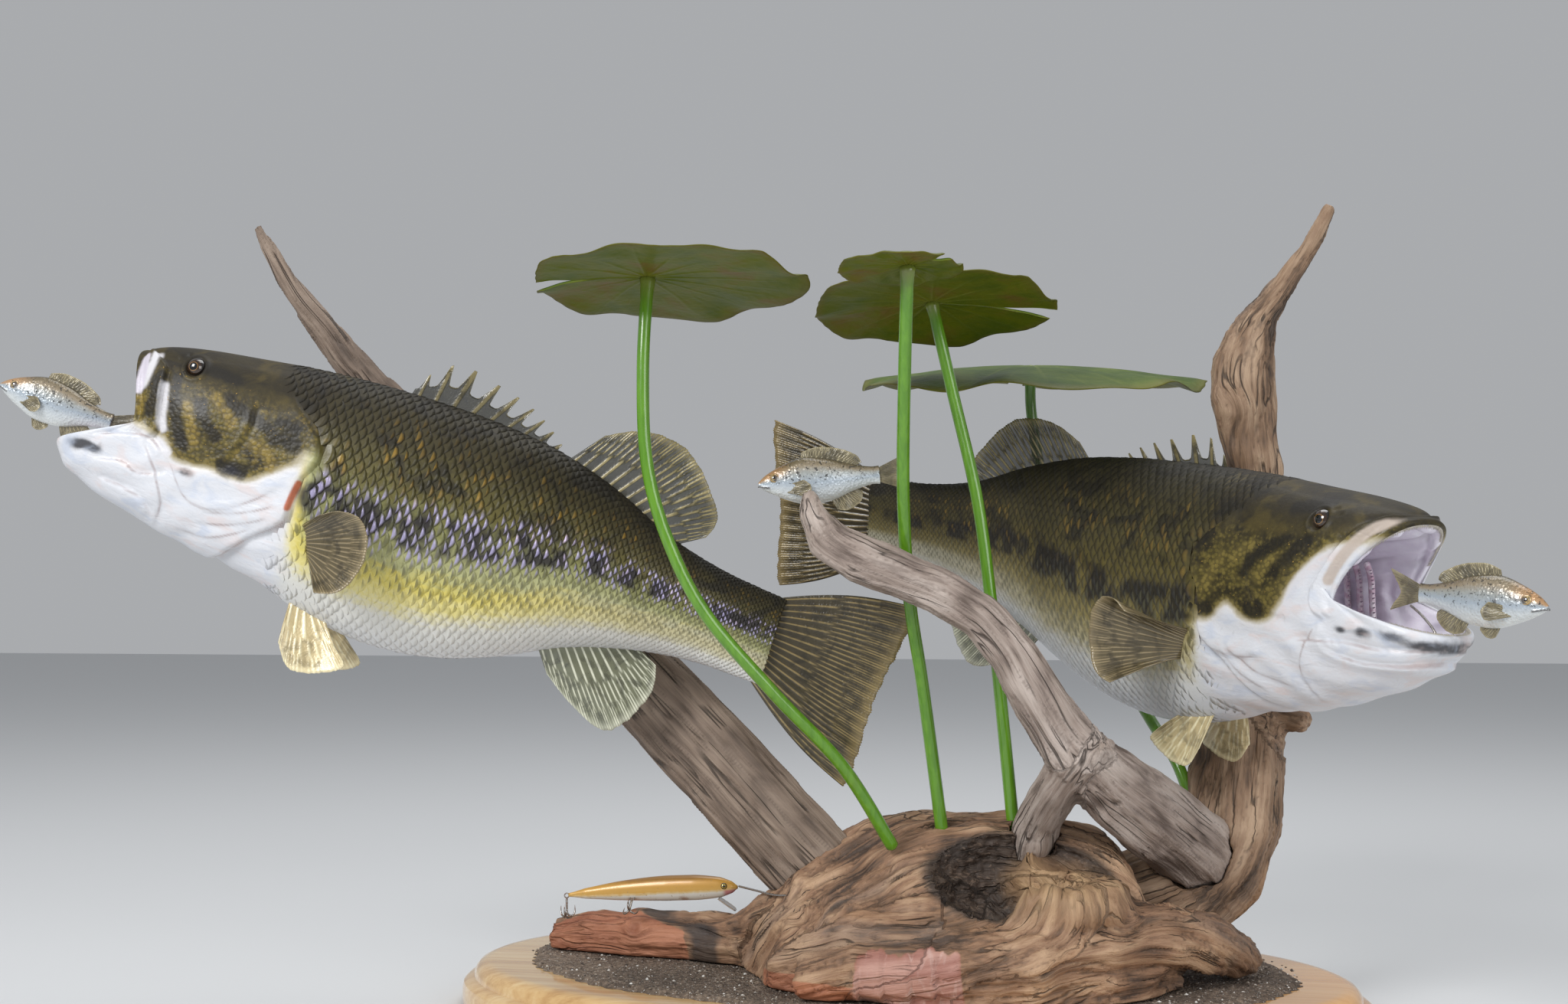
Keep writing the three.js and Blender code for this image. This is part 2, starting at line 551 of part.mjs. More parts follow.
function lilyPad({ hub, radius, offset, slit, slitWidth, tilt, droop }) {
  const across = (PAD_FACING + 90) * DEGREE;
  const spin = new THREE.Matrix4().makeTranslation(...hub).multiply(new THREE.Matrix4()
    .makeRotationAxis(vector([Math.cos(across), Math.sin(across), 0]), -tilt * DEGREE));
  const away = (slit + 180) * DEGREE;
  const at = (u, v) => {
    const reach = radius * lerp(0.03, 1, v);
    const open = Math.asin(Math.min(0.9, slitWidth / 2 / reach));
    const angle = slit * DEGREE + lerp(open, 2 * Math.PI - open, u);
    const wave = 0.02 * radius * v ** 3 * (Math.sin(7 * angle) + 0.6 * Math.sin(11 * angle + 1));
    const rim = reach * (1 + 0.03 * Math.sin(5 * angle) * v);
    const slide = offset * v;
    return new THREE.Vector3(rim * Math.cos(angle) + slide * Math.cos(away),
      rim * Math.sin(angle) + slide * Math.sin(away), wave - droop * v * v).applyMatrix4(spin);
  };
  return plate(20, 2, at, () => PAD_THICKNESS);
}

function stemPath(points) {
  return { path: points.map((p) => [...p, STEM_RADIUS]) };
}

// ---------------------------------------------------------------- board, sand and lure

function ovalRing({ halfLength, halfWidth, sides }, inset, z) {
  return Array.from({ length: sides }, (_, j) => {
    const angle = 2 * Math.PI * j / sides;
    return new THREE.Vector3((halfLength - inset) * Math.cos(angle), (halfWidth - inset) * Math.sin(angle), z);
  });
}

function lureBody(grow = 0) {
  const length = LURE.length;
  const radius = LURE.radius + grow;
  const rings = [[0, 0.12], [0.03, 0.45], [0.1, 0.8], [0.25, 1], [0.45, 0.98], [0.7, 0.75], [0.9, 0.42],
    [1, 0.15]].map(([t, share]) => Array.from({ length: 8 }, (_, j) => {
    const angle = 2 * Math.PI * j / 8;
    return new THREE.Vector3(-length * t, 0.72 * radius * share * Math.sin(angle),
      radius * share * Math.cos(angle) + 1.5 * Math.sin(Math.PI * t));
  }));
  return loft(rings);
}

/** The clear diving lip under the lure's nose. */
function lureLip() {
  const at = (u, v) => new THREE.Vector3(-13 + 10 * v, lerp(-1, 1, u) * (3.4 + 1.2 * v - 1.5 * v ** 4),
    -6.6 - 8.5 * v);
  return plate(3, 2, at, () => 1.1);
}

/** A treble hook hanging from [x, y, z] of the lure, its shank leaning out by `lean` degrees. */
function trebleHook({ at: [x, y, z], lean }) {
  const tilt = new THREE.Matrix4().makeTranslation(x, y, z)
    .multiply(new THREE.Matrix4().makeRotationX(-lean * DEGREE));
  const prong = (turn) => {
    const out = (reach, height) => [reach * Math.cos(turn), reach * Math.sin(turn), height, HOOK_RADIUS];
    return { path: [out(0, -8), out(1.6, -11.5), out(4.4, -11.5), out(5.6, -8.5), out(5.2, -5)] };
  };
  return join([
    branch({ path: [[0, 0, -1, HOOK_RADIUS], [0, 0, -9, HOOK_RADIUS]] }, { steps: 1, sides: 5 }),
    ...[30, 150, 270].map((turn) => branch(prong(turn * DEGREE), { steps: 4, sides: 3 })),
  ]).transform(tilt.elements);
}

function wire(points, grow = 0) {
  return branch({ path: points.map((p) => [...p, WIRE_RADIUS]) }, { steps: 3, sides: 5, grow });
}

// ---------------------------------------------------------------- the model

const COLOURS = {
  base_board: [0xd9a35c, 0.35], base_ground: [0x4a4440, 0.95], driftwood: [0x8d7766, 0.85],
  lily_pad: [0x4f5f24, 0.4], lily_stem: [0x5fae2c, 0.3], bass: [0x5d5b2c, 0.3], fin: [0x6d6540, 0.35],
  jaw: [0xdfe2d8, 0.3], eye: [0x2a1d10, 0.1], tongue: [0xd8c4cf, 0.3], bait: [0x9fb4bd, 0.3],
  lure: [0xd0a24a, 0.25], clear: [0xb99a6a, 0.1], metal: [0x5a4a3c, 0.4],
};
const METALNESS = { metal: 0.8 };

const model = new THREE.Group();

/** Adds a solid to a group as a named mesh. */
function add(group, name, solid, finish) {
  const { vertProperties, triVerts } = largest(solid).getMesh();
  const geometry = new THREE.BufferGeometry();
  geometry.setAttribute('position', new THREE.BufferAttribute(new Float32Array(vertProperties), 3));
  geometry.setIndex(new THREE.BufferAttribute(new Uint32Array(triVerts), 1));
  geometry.computeVertexNormals();
  const [color, roughness] = COLOURS[finish];
  const material = new THREE.MeshStandardMaterial({ color, roughness, metalness: METALNESS[finish] ?? 0 });
  const mesh = new THREE.Mesh(geometry, material);
  mesh.name = name;
  group.add(mesh);
}

/** A solid taken out of a placed group's frame, and one taken into it. */
const placed = (solid, place) => solid.transform(place.matrix.elements);
const unplaced = (solid, place) => solid.transform(place.matrix.clone().invert().elements);

const display = new THREE.Group();
display.position.set(...STAND);
model.add(display);

const leftPlace = bassPlace(LEFT_BASS);
const rightPlace = bassPlace(RIGHT_BASS);
display.add(leftPlace, rightPlace);

const stems = STEMS.map((points) => branch(stemPath(points), STEM_SHAPE));
const stemHoles = join(STEMS.map((points) => branch(stemPath(points), { ...STEM_SHAPE, grow: GAP })));
const fork = (grow) => join([branch(FORK, { steps: 13, sides: 8, knots: 0.04, grow }),
  branch(FORK_FOOT, { steps: 3, sides: 7, knots: 0.04, grow })]);
const trunk = (grow) => join([branch(TRUNK, { steps: 18, sides: 9, knots: 0.05, grow }),
  branch(TRUNK_STUB, { steps: 2, sides: 6, grow })]);
const plank = (grow) => branch(PLANK, { steps: 10, sides: 8, knots: 0.02, grow });

const bassFinish = (name) => {
  if (name.includes('fin')) return 'fin';
  if (name.startsWith('eye')) return 'eye';
  if (name === 'lower_jaw') return 'jaw';
  return name === 'tongue' ? 'tongue' : 'bass';
};
const leftPieces = partedBass(LEFT_BASS);
leftPieces.lower_jaw = leftPieces.lower_jaw.subtract(unplaced(wire(BAIT_WIRES.left, GAP), leftPlace));
for (const [name, solid] of Object.entries(leftPieces)) {
  add(leftPlace, `bass_${name}`, solid, bassFinish(name));
}
add(rightPlace, 'second_bass', wholeBass(RIGHT_BASS, unplaced(trunk(GAP), rightPlace))
  .subtract(unplaced(wire(BAIT_WIRES.right, GAP), rightPlace)), 'bass');

const grownLeft = placed(bassBody(LEFT_BASS, GAP), leftPlace);
const grownRight = placed(bassBody(RIGHT_BASS, GAP), rightPlace);

add(model, 'base_board', loft(BOARD_PROFILE.map(([inset, z]) => ovalRing(BOARD, inset, z))), 'base_board');
add(model, 'base_ground', loft([ovalRing(SAND, 0, SAND.bottom), ovalRing(SAND, 1, SAND.top)]), 'base_ground');
add(display, 'driftwood_root', driftwoodRoot().subtract(stemHoles).subtract(fork(GAP))
  .subtract(trunk(GAP)).subtract(plank(GAP)).subtract(wire(LURE_LEADER, GAP)), 'driftwood');
add(display, 'driftwood_trunk', trunk(0).subtract(fork(GAP)).subtract(stemHoles)
  .subtract(grownRight), 'driftwood');
add(display, 'driftwood_fork', fork(0).subtract(stemHoles), 'driftwood');
add(display, 'driftwood_plank', plank(0).subtract(grownLeft), 'driftwood');

PADS.forEach((pad, i) => {
  add(display, `lily_pad_${i + 1}`, lilyPad(pad), 'lily_pad');
  add(display, `lily_stem_${i + 1}`, stems[i], 'lily_stem');
});

for (const [name, { snout, heading, pitch }] of Object.entries(BAIT_FISH)) {
  const place = bassPlace({ origin: snout, heading, pitch });
  add(display, `bait_fish_${name}`, placed(baitFish(), place).subtract(fork(GAP)), 'bait');
}
for (const [name, points] of Object.entries(BAIT_WIRES)) {
  add(display, `bait_wire_${name}`, wire(points), 'metal');
}

const lurePlace = bassPlace({ origin: LURE.nose, heading: LURE.heading, pitch: LURE.pitch });
display.add(lurePlace);
add(lurePlace, 'lure_body', lureBody(), 'lure');
add(lurePlace, 'lure_lip', lureLip().subtract(lureBody(GAP)), 'clear');
for (const [name, hook] of Object.entries(LURE_HOOKS)) {
  add(lurePlace, `lure_hook_${name}`, trebleHook(hook).subtract(lureBody(GAP)), 'metal');
}
add(display, 'lure_leader', wire(LURE_LEADER).subtract(placed(lureBody(GAP), lurePlace)), 'metal');

export default model;
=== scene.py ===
"""Looks of the mounted bass display: two bass, three bait fish, driftwood, lily pads, lure and base."""

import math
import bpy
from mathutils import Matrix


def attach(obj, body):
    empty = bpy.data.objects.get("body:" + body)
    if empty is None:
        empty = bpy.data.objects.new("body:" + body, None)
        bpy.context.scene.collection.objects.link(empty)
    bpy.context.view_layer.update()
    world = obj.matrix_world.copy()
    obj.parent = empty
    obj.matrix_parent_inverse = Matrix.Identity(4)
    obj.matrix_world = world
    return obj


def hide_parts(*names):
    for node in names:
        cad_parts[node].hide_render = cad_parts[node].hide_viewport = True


bl_info = {
    "name": "Mounted Bass Display",
    "version": (1, 0, 0),
    "blender": (4, 5, 0),
    "location": "View3D > Sidebar > Bass Display",
    "description": "Skins, scales, fins, driftwood, lily pads and lure over the display's solids",
    "category": "Object",
}

from functools import wraps

import bmesh
import bpy
import numpy as np
from bpy.props import FloatProperty, FloatVectorProperty, IntProperty, PointerProperty
from bpy.types import Operator, Panel, PropertyGroup
from mathutils import Matrix, Vector, noise

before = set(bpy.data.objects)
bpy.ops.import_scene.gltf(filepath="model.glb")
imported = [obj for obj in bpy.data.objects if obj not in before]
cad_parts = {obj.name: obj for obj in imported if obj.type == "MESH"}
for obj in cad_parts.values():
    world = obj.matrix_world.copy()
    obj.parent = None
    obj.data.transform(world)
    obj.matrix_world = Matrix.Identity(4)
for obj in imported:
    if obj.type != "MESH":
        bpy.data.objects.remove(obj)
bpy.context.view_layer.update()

# -------- sizes, in millimetres

MM = 0.001
TURN = 2 * math.pi
SIDES = (("left", 1), ("right", -1))
STAND = np.array((18.0, -37.0, 0.0))       # all that stands on the board is set off its centre by this
SKIN_DEPTH = 0.6                           # the skin lies this far inside the solids

# A bass body from tail root to gape: place x, heights of back, side and belly, half width,
# roundness, and how far the back and the belly lean forward of x.
BODY_STATIONS = (
    (-233, 14, -14, -43, 7, 1, 0, 0),
    (-190, 19, -11, -42, 17, 1, 0, 0),
    (-151, 29, -9, -47, 27, 1, 0, 0),
    (-109, 47, -7, -59, 35, 1, 0, 0),
    (-67, 59, -8, -79, 41, 1, 0, 0),
    (-25, 64, -10, -92, 44, 1, 0, 0),
    (18, 65, -10, -95, 45, 1, 0, 0),
    (56, 64, -8, -89, 44, 0.96, 0, 0),
    (94, 61, -5, -78, 43, 0.9, 0, 0),
    (129, 56, -2, -73, 41.5, 0.82, 2, 3),
    (154, 51.5, 0, -66, 39, 0.76, 7, 13),
    (171, 46.5, 0, -58, 36.5, 0.74, 12, 28),
    (180, 41.5, -4, -47, 34.5, 0.76, 16, 46),
)
LIP_STATION = (183, 37, -8, -34, 33, 0.8, 18, 51)
MOUTH_STATIONS = (
    (181, 33, -8, -31.5, 30, 0.8, 17, 47),
    (174, 29, -7, -33, 27, 0.82, 12, 36),
    (160, 25, -5, -38, 24.5, 0.9, 5, 18),
    (143, 19, -6, -36, 19, 1, 0, 4),
    (122, 8, -8, -24, 10, 1, 0, 0),
)
LIP_PLACE = len(BODY_STATIONS)             # where the lip stands in the list of all stations
MOUTH_PLACE = LIP_PLACE + len(MOUTH_STATIONS)

EYE_CENTRE = (159.0, 27.6, 36.5)
EYE_RADIUS = 6.3
TONGUE = {"x": 184, "z": -33, "length": 21, "width": 10, "height": 4}

# Side-view lines of the head's relief, (x, z) from top to bottom or rear to front. The
# raised plate lies in front of or above each line.
GILL_EDGE = ((97, 42), (86, 33), (72, 23), (64, 9), (66, -1), (71, -9), (73, -22), (73, -35),
             (80, -43), (93, -53), (103, -63), (113, -71), (128, -76))
CHEEK_EDGE = ((113, 28), (112, 14), (113, 5), (116, -6), (121, -14), (132, -18), (150, -21))
NOSTRILS = ((171, 40), (166.5, 43))

FISH = {
    "bass": {
        "origin": (-302, -74, 327), "heading": 192, "pitch": 18, "curl_start": -60, "curl": -0.0007,
        "rise": 0, "upper_lip": (18, 37), "lower_lip": (51, -34), "lip_side": 0, "belly_depth": 1,
        "dorsal_shift": (0, 0), "breast": {"near": {}, "far": {}},
        "upper_jaw_edge": ((196, 41), (184, 37), (175, 31), (173, 20), (170, 6), (166.5, -6), (170, -12),
                           (177, -12), (186, -8)),
        "jaw_edge": ((174, -15), (165, -25), (157, -37), (152, -50), (156, -66)),
        "pale_top": ((40, 10), (70, 9), (78, -2), (91, -12), (102, -20), (116, -21), (129, -20), (141, -22),
                     (152, -21), (160, -12), (171, -10), (240, 4)),
        "dark_bars": (
            ((169, 34), (166, 26), (162, 13), (156, 1), (149, -10), (141, -15)),
            ((150, 24), (142, 11), (134, 3), (124, -4)),
            ((137, 31), (127, 23), (114, 18), (102, 15), (87, 10), (70, 5)), ((100, 21), (79, 17)),
            ((99, 9), (76, 12)), ((126, -17), (113, -15), (102, -15)),
            ((177, 32), (176, 19), (175, 7), (173, -4)), ((167, 42), (152, 38), (140, 38), (122, 36))),
        "gold_bars": (
            ((156, 20), (150, 7), (143, -4), (139, -13)), ((142, 27), (131, 17), (119, 8)),
            ((112, 5), (94, -2), (92, -12)), ((184, 12), (181, -3))),
        "white_bars": (
            ((186, 41), (185, 33), (185, 23), (186, 12)), ((173, 25), (170, 15), (166, 0), (161, -9)),
            ((168, -12), (160, -16), (152, -20))),
        "gum_bars": (((193, 38), (190, 28), (188, 18), (187, 8)),),
        "red_bars": (((71, -8), (73, -19), (74, -31)),),
        "smudges": ((216, -31, 5), (209, -29, 4), (202, -30, 4), (141, -26, 4), (113, -17, 5)),
        "throat_folds": (
            ((79, -13), (90, -25), (100, -33), (112, -40), (125, -43.5), (138, -41), (149, -28),
             (160, -17)),
            ((80, -28), (92, -35), (106, -41), (124, -46)), ((82, -36), (94, -43), (108, -49), (128, -54)),
            ((90, -45), (103, -53), (120, -60), (142, -62))),
        "jaw_folds": (
            ((206, -22), (186, -15), (170, -13), (158, -20)),
            ((202, -36), (182, -32), (170, -36), (152, -30)),
            ((196, -46), (180, -47), (166, -50), (158, -57))),
    },
    "second_bass": {
        "origin": (158, 53, 290), "heading": -50, "pitch": -5, "curl_start": 100, "curl": 0.00192,
        "rise": 12.5, "upper_lip": (36, 39), "lower_lip": (60, -24), "lip_side": -10, "belly_depth": 1.06,
        "dorsal_shift": (20, -8), "breast": {"near": {"tip_out": 82}, "far": {"tip_out": 62, "swing": 130}},
        "upper_jaw_edge": ((205, 43), (192, 38), (180, 27), (170, 13), (161, -3), (162, -13), (168, -17),
                           (176, -14)),
        "jaw_edge": ((168, -20), (160, -29), (154, -40), (151, -52), (156, -68)),
        "pale_top": ((30, -8), (52, -11), (63, -22), (82, -27), (98, -16), (110, -23), (129, -24),
                     (141, -12), (152, 4), (166, 20), (178, 26), (240, 40)),
        "dark_bars": (
            ((161, 28), (151, 21), (141, 11), (131, 0)), ((127, -11), (121, -19), (111, -14)),
            ((150, 29), (130, 19), (115, 9), (106, -1)), ((84, 28), (74, 21), (66, 15)),
            ((62, -15), (75, -21), (88, -17)), ((166, 48), (150, 44), (132, 42))),
        "gold_bars": (
            ((146, 8), (132, 11), (120, -4)), ((95, 17), (86, 4), (77, -9)),
            ((120, 22), (108, 16), (98, 8))),
        "white_bars": (((172, 20), (162, 11), (152, 1), (146, -11), (146, -21)),),
        "gum_bars": (((209, 41), (193, 32), (181, 19), (173, 6), (170, -1)),),
        "red_bars": (),
        "smudges": ((240, -29, 7), (226, -28, 5), (212, -24, 4.5), (196, -23, 4), (182, -23, 3)),
        "throat_folds": (((88, -42), (104, -55), (122, -64)), ((96, -40), (118, -54), (144, -60))),
        "jaw_folds": (
            ((237, -30), (207, -32), (179, -30), (140, -33)),
            ((244, -33), (226, -38), (194, -40), (167, -34)),
            ((56, -28), (79, -42), (105, -46), (125, -43))),
    },
}
CURL_SPAN = 200

# Fins: `base` is the first and last ray's root and `tips` the ray ends, (x, z) in side view.
TAIL = {"top_root": (-226, 12), "bottom_root": (-226, -41), "axis": -8, "spread": 22, "length": 90, "fork": 9,
        "rays": 17}
FINS = {
    "spiny_dorsal_fin": {
        "base": ((35, 58), (-64, 52)), "dorsal": True, "rays": 9, "spines": True,
        "tips": ((30, 76), (10, 92), (-20, 87), (-43, 80), (-58, 71), (-70, 61))},
    "soft_dorsal_fin": {
        "base": ((-72, 52), (-155, 24)), "dorsal": True, "rays": 13,
        "tips": ((-92, 77), (-114, 87), (-139, 86.5), (-158, 74), (-176, 50), (-173, 35))},
    "anal_fin": {
        "base": ((-92, -62), (-148, -41)), "rays": 12,
        "tips": ((-104, -78), (-124, -91), (-147, -100.5), (-158, -95), (-166, -82), (-171, -66),
                 (-168, -51))},
    "pectoral_fin": {
        "base": ((63, -35), (52, -54)), "root_out": 37, "tip_out": 66, "rays": 13, "paired": True,
        "tips": ((48, -25), (36, -18.5), (22, -20), (14, -34), (14, -50), (22, -65), (36, -70))},
    "pelvic_fin": {
        "base": ((62, -83), (36, -89)), "root_out": 11, "tip_out": 22, "rays": 6, "paired": True,
        "tips": ((58, -109), (50, -120), (42, -123), (29, -120), (17, -114), (15, -109), (24, -101))},
}

# Bait fish from snout to tail root: x, top, bottom, half width.
BAIT_STATIONS = ((0, 0.8, -1.4, 1), (-5, 5, -5, 3.6), (-14, 9.5, -9.5, 6), (-27, 13.5, -14, 7.5),
                 (-42, 12, -13.5, 7), (-56, 7.5, -8.5, 4.4), (-67, 5, -5.5, 2.2), (-73, 5, -5.5, 1.4))
BAIT_FISH = {
    "left": {"snout": (-567, -133, 404), "heading": 195, "pitch": 19},
    "middle": {"snout": (-86, -86, 337), "heading": 194, "pitch": -5},
    "right": {"snout": (345, -159, 264), "heading": -39, "pitch": -6},
}
BAIT_FINS = (
    {"base": ((-71, 3.5), (-71, -4)), "rays": 13,
     "tips": ((-92, 12), (-89, 6), (-85, 0), (-88, -6), (-91, -11.5))},
    {"base": ((-26, 11.5), (-57, 5.5)), "rays": 12,
     "tips": ((-27, 17), (-36, 19.5), (-49, 18), (-60, 13), (-63, 8))},
    {"base": ((-42, -11.5), (-58, -6.5)), "tips": ((-46, -19), (-53, -20), (-61, -15), (-62, -9)), "rays": 9},
    {"base": ((-24, -11), (-29, -11)), "tips": ((-27, -19), (-31, -20), (-36, -17), (-36, -14)), "rays": 5},
    {"base": ((-17, -2), (-17, -7)), "tips": ((-27, 0), (-31, -4), (-30, -9), (-26, -10)), "rays": 7,
     "root_out": 4.8, "tip_out": 10, "paired": True},
)

# Lily pads, as in the solids: hub, radii, slit and tilt.
PAD_THICKNESS = 1.5
PAD_FACING = -78
PADS = (
    {"hub": (-148, -113, 461), "radius": 82, "offset": 13, "slit": 192, "slit_width": 8,
     "tilt": 6, "droop": 5},
    {"hub": (11, -130, 459), "radius": 36, "offset": 6, "slit": 330, "slit_width": 5,
     "tilt": 5, "droop": 1.5},
    {"hub": (9, -6, 457.5), "radius": 77, "offset": -1, "slit": 20, "slit_width": 9,
     "tilt": 9, "droop": 5},
    {"hub": (60, 141, 433), "radius": 121, "offset": 2, "slit": 100, "slit_width": 7,
     "tilt": -7, "droop": 14},
)
STEM_RADIUS = 3.9

WIRES = {
    "bait_wire_left": ((-509, -117, 376), (-511, -118, 367), (-512, -118, 356)),
    "bait_wire_right": ((284, -110, 264.5), (289, -117, 259), (294, -124, 251), (296, -127, 243)),
    "lure_leader": ((-122, 16, 81), (-105, -6, 82), (-88, -27, 83), (-68, -40, 86)),
}
WIRE_RADIUS = 0.7

LURE = {"nose": (-123, 16, 80.5), "heading": 3, "pitch": 4, "length": 114, "radius": 8.2}
LURE_PROFILE = ((0, 0.12), (0.03, 0.45), (0.1, 0.8), (0.25, 1), (0.45, 0.98), (0.7, 0.75), (0.9, 0.42),
                (1, 0.15))
LURE_EYE, LURE_EYE_RADIUS = (-8.5, 3.6, 1.5), 2.1
LURE_HOOKS = {"front": {"at": (-70, -5, -4), "lean": 58}, "rear": {"at": (-115.5, 0, -1.5), "lean": 12}}
HOOK_RADIUS = 0.75

BOARD = {"half_length": 295, "half_width": 178}
BOARD_PROFILE = ((4, 0), (0.6, 2), (0, 5), (0, 13), (1, 16.5), (4, 19), (7.6, 20), (8, 22.5), (9, 25),
                 (11.5, 28), (16, 29.8), (20, 30))      # inset and height of the routed edge
SAND = {"half_length": 254, "half_width": 143, "bottom": 30.05, "top": 33.5}

CAMERA_PLACE = (176.35, -1199.48, 268.0)
CAMERA_TURN = (93.03, 0.0, 12.0)           # degrees
CAMERA_LENS = 42.19
CAMERA_SENSOR = 36.0


# -------- curves and surfaces

def lerp(a, b, share):
    return a + (b - a) * share


def unit(vectors):
    return vectors / np.linalg.norm(vectors, axis=-1, keepdims=True)


def round_angles(count):
    """Even angles once round, the last one short of the first."""
    return np.linspace(0, TURN, count, endpoint=False)


def smoothstep(low, high, value):
    share = np.clip((value - low) / (high - low), 0, 1)
    return share * share * (3 - 2 * share)


def bell(value, centre, width):
    return np.exp(-((value - centre) / width) ** 2)


def signed_power(value, power):
    return np.sign(value) * np.abs(value) ** power


def smooth_rows(table, place):
    """Rows of a table at fractional places, on a Catmull-Rom spline."""
    table = np.asarray(table, float)
    place = np.asarray(place, float)
    last = len(table) - 1
    index = np.clip(np.floor(place).astype(int), 0, last - 1)
    share = (place - index)[..., None]
    a, b, c, d = (table[np.clip(index + k, 0, last)] for k in (-1, 0, 1, 2))
    return b + 0.5 * share * (c - a + share * (2 * a - 5 * b + 4 * c - d + share * (3 * (b - c) + d - a)))


def smooth_line(points, count):
    return smooth_rows(points, np.linspace(0, len(points) - 1, count))


def line_distance(x, z, points, count=60):
    """Signed distance of (x, z) from a smooth line, positive to its left, and how far along it lies."""
    line = smooth_line(points, count)
    start, run = line[:-1], np.diff(line, axis=0)
    length = np.linalg.norm(run, axis=1)
    shape = x.shape
    offset = np.stack([x.ravel(), z.ravel()], 1)[:, None, :] - start
    along = np.clip((offset * run).sum(2) / length ** 2, 0, 1)
    gap = offset - along[..., None] * run
    distance = np.linalg.norm(gap, axis=2)
    nearest = distance.argmin(1)
    rows = np.arange(len(nearest))
    turn = run[nearest, 0] * gap[rows, nearest, 1] - run[nearest, 1] * gap[rows, nearest, 0]
    signed = distance[rows, nearest] * np.where(turn < 0, -1, 1)
    share = (nearest + along[rows, nearest]) / len(run)
    return signed.reshape(shape), share.reshape(shape)


def fade_ends(share, length=0.1):
    return smoothstep(0, length, share) * smoothstep(1, 1 - length, share)


def plate_step(x, z, line, height, reach, groove, width):
    """Height of a plate that ends at the line, with a groove beyond it."""
    distance, share = line_distance(x, z, line)
    step = np.where(distance > 0, height * np.exp(-distance / reach), -groove * np.exp(distance / width))
    return step * fade_ends(share)


def turned(heading, pitch):
    """Matrix for a heading about Z and a nose-up pitch, both in degrees."""
    h, p = math.radians(heading), math.radians(pitch)
    about_z = np.array(((math.cos(h), -math.sin(h), 0), (math.sin(h), math.cos(h), 0), (0, 0, 1)))
    about_y = np.array(((math.cos(p), 0, -math.sin(p)), (0, 1, 0), (math.sin(p), 0, math.cos(p))))
    return about_z @ about_y


def rough(points, scale, octaves=3, seed=0):
    """Fractal noise at points in millimetres, about -1 to 1."""
    shift = Vector((seed * 17.3, seed * 5.1, seed * 9.7))
    flat = np.asarray(points, float).reshape(-1, 3) * scale
    values = [noise.fractal(Vector(p) + shift, 0.7, 2.1, octaves) for p in flat]
    return np.array(values).reshape(np.shape(points)[:-1])


class BassForm:
    """The body of one bass as a surface over a place along its stations and an angle round them."""

    def __init__(self, pose):
        self.pose = pose
        self.turn = turned(pose["heading"], pose["pitch"])
        self.origin = np.array(pose["origin"], float) + STAND
        self.outer = np.array([self._gaped(s) for s in (*BODY_STATIONS, LIP_STATION)])
        self.whole = np.vstack([self.outer, [self._gaped(s) for s in MOUTH_STATIONS]])
        self.fine = np.linspace(0, LIP_PLACE, 900)
        self.fine_x = smooth_rows(self.outer, self.fine)[:, 0]

    def _gaped(self, station):
        """A station moved to this fish's gape."""
        x, back, side, belly, width, roundness, back_lean, belly_lean = station
        share = belly_lean / LIP_STATION[7]
        top_lean, top = self.pose["upper_lip"]
        bottom_lean, bottom = self.pose["lower_lip"]
        return (x + self.pose["lip_side"] * share, back + (top - LIP_STATION[1]) * share, side,
                belly * lerp(self.pose["belly_depth"], 1, share) + (bottom - LIP_STATION[3]) * share,
                width, roundness, back_lean * top_lean / LIP_STATION[6],
                belly_lean * bottom_lean / LIP_STATION[7])

    def place_of(self, x):
        return np.interp(x, self.fine_x, self.fine)

    def straight(self, place, angle, grow=0.0):
        """Points of the straight fish; angle 0 is the back and a quarter turn the left side."""
        x, back, side, belly, width, roundness, back_lean, belly_lean = np.moveaxis(
            smooth_rows(self.whole, place), -1, 0)
        lift = signed_power(np.cos(angle), roundness)
        reach = np.where(lift > 0, back + grow - side, side - belly + grow)
        lean = np.where(lift > 0, back_lean * np.abs(lift) ** 1.5, belly_lean * np.abs(lift))
        return np.stack(np.broadcast_arrays(
            x + lean, (width + grow) * signed_power(np.sin(angle), roundness), side + reach * lift), -1)

    def height(self, place, z):
        """Share of the body's depth, 0 at the belly and 1 at the back."""
        station = smooth_rows(self.whole, place)
        return (z - station[..., 3]) / (station[..., 1] - station[..., 3])

    def posed(self, points):
        """Straight-fish points bent into the pose and set in the row frame."""
        x, y, z = np.moveaxis(np.asarray(points, float), -1, 0)
        curl = self.pose["curl"]
        behind = np.maximum(self.pose["curl_start"] - x, 0)
        angle = curl * behind
        bent = np.stack([
            np.where(behind > 0, self.pose["curl_start"] - np.sin(angle) / curl - y * np.sin(angle), x),
            np.where(behind > 0, (np.cos(angle) - 1) / curl + y * np.cos(angle), y),
            z + self.pose["rise"] * (behind / CURL_SPAN) ** 2], -1)
        return bent @ self.turn.T + self.origin


def grid_normals(points, wrap):
    """Unit normals of a grid of points, rows by columns; columns may wrap round."""
    down = np.gradient(points, axis=0)
    if wrap:
        across = np.roll(points, -1, axis=1) - np.roll(points, 1, axis=1)
    else:
        across = np.gradient(points, axis=1)
    normal = np.cross(down, across)
    return normal / np.maximum(np.linalg.norm(normal, axis=-1, keepdims=True), 1e-9)


def grid_quads(rows, columns, wrap=False):
    """Four-sided faces over a grid of points, rows by columns."""
    i, j = np.meshgrid(np.arange(rows - 1), np.arange(columns if wrap else columns - 1), indexing="ij")
    corners = i * columns + j, i * columns + (j + 1) % columns
    return np.stack([*corners, corners[1] + columns, corners[0] + columns], -1).reshape(-1, 4)


# -------- pieces

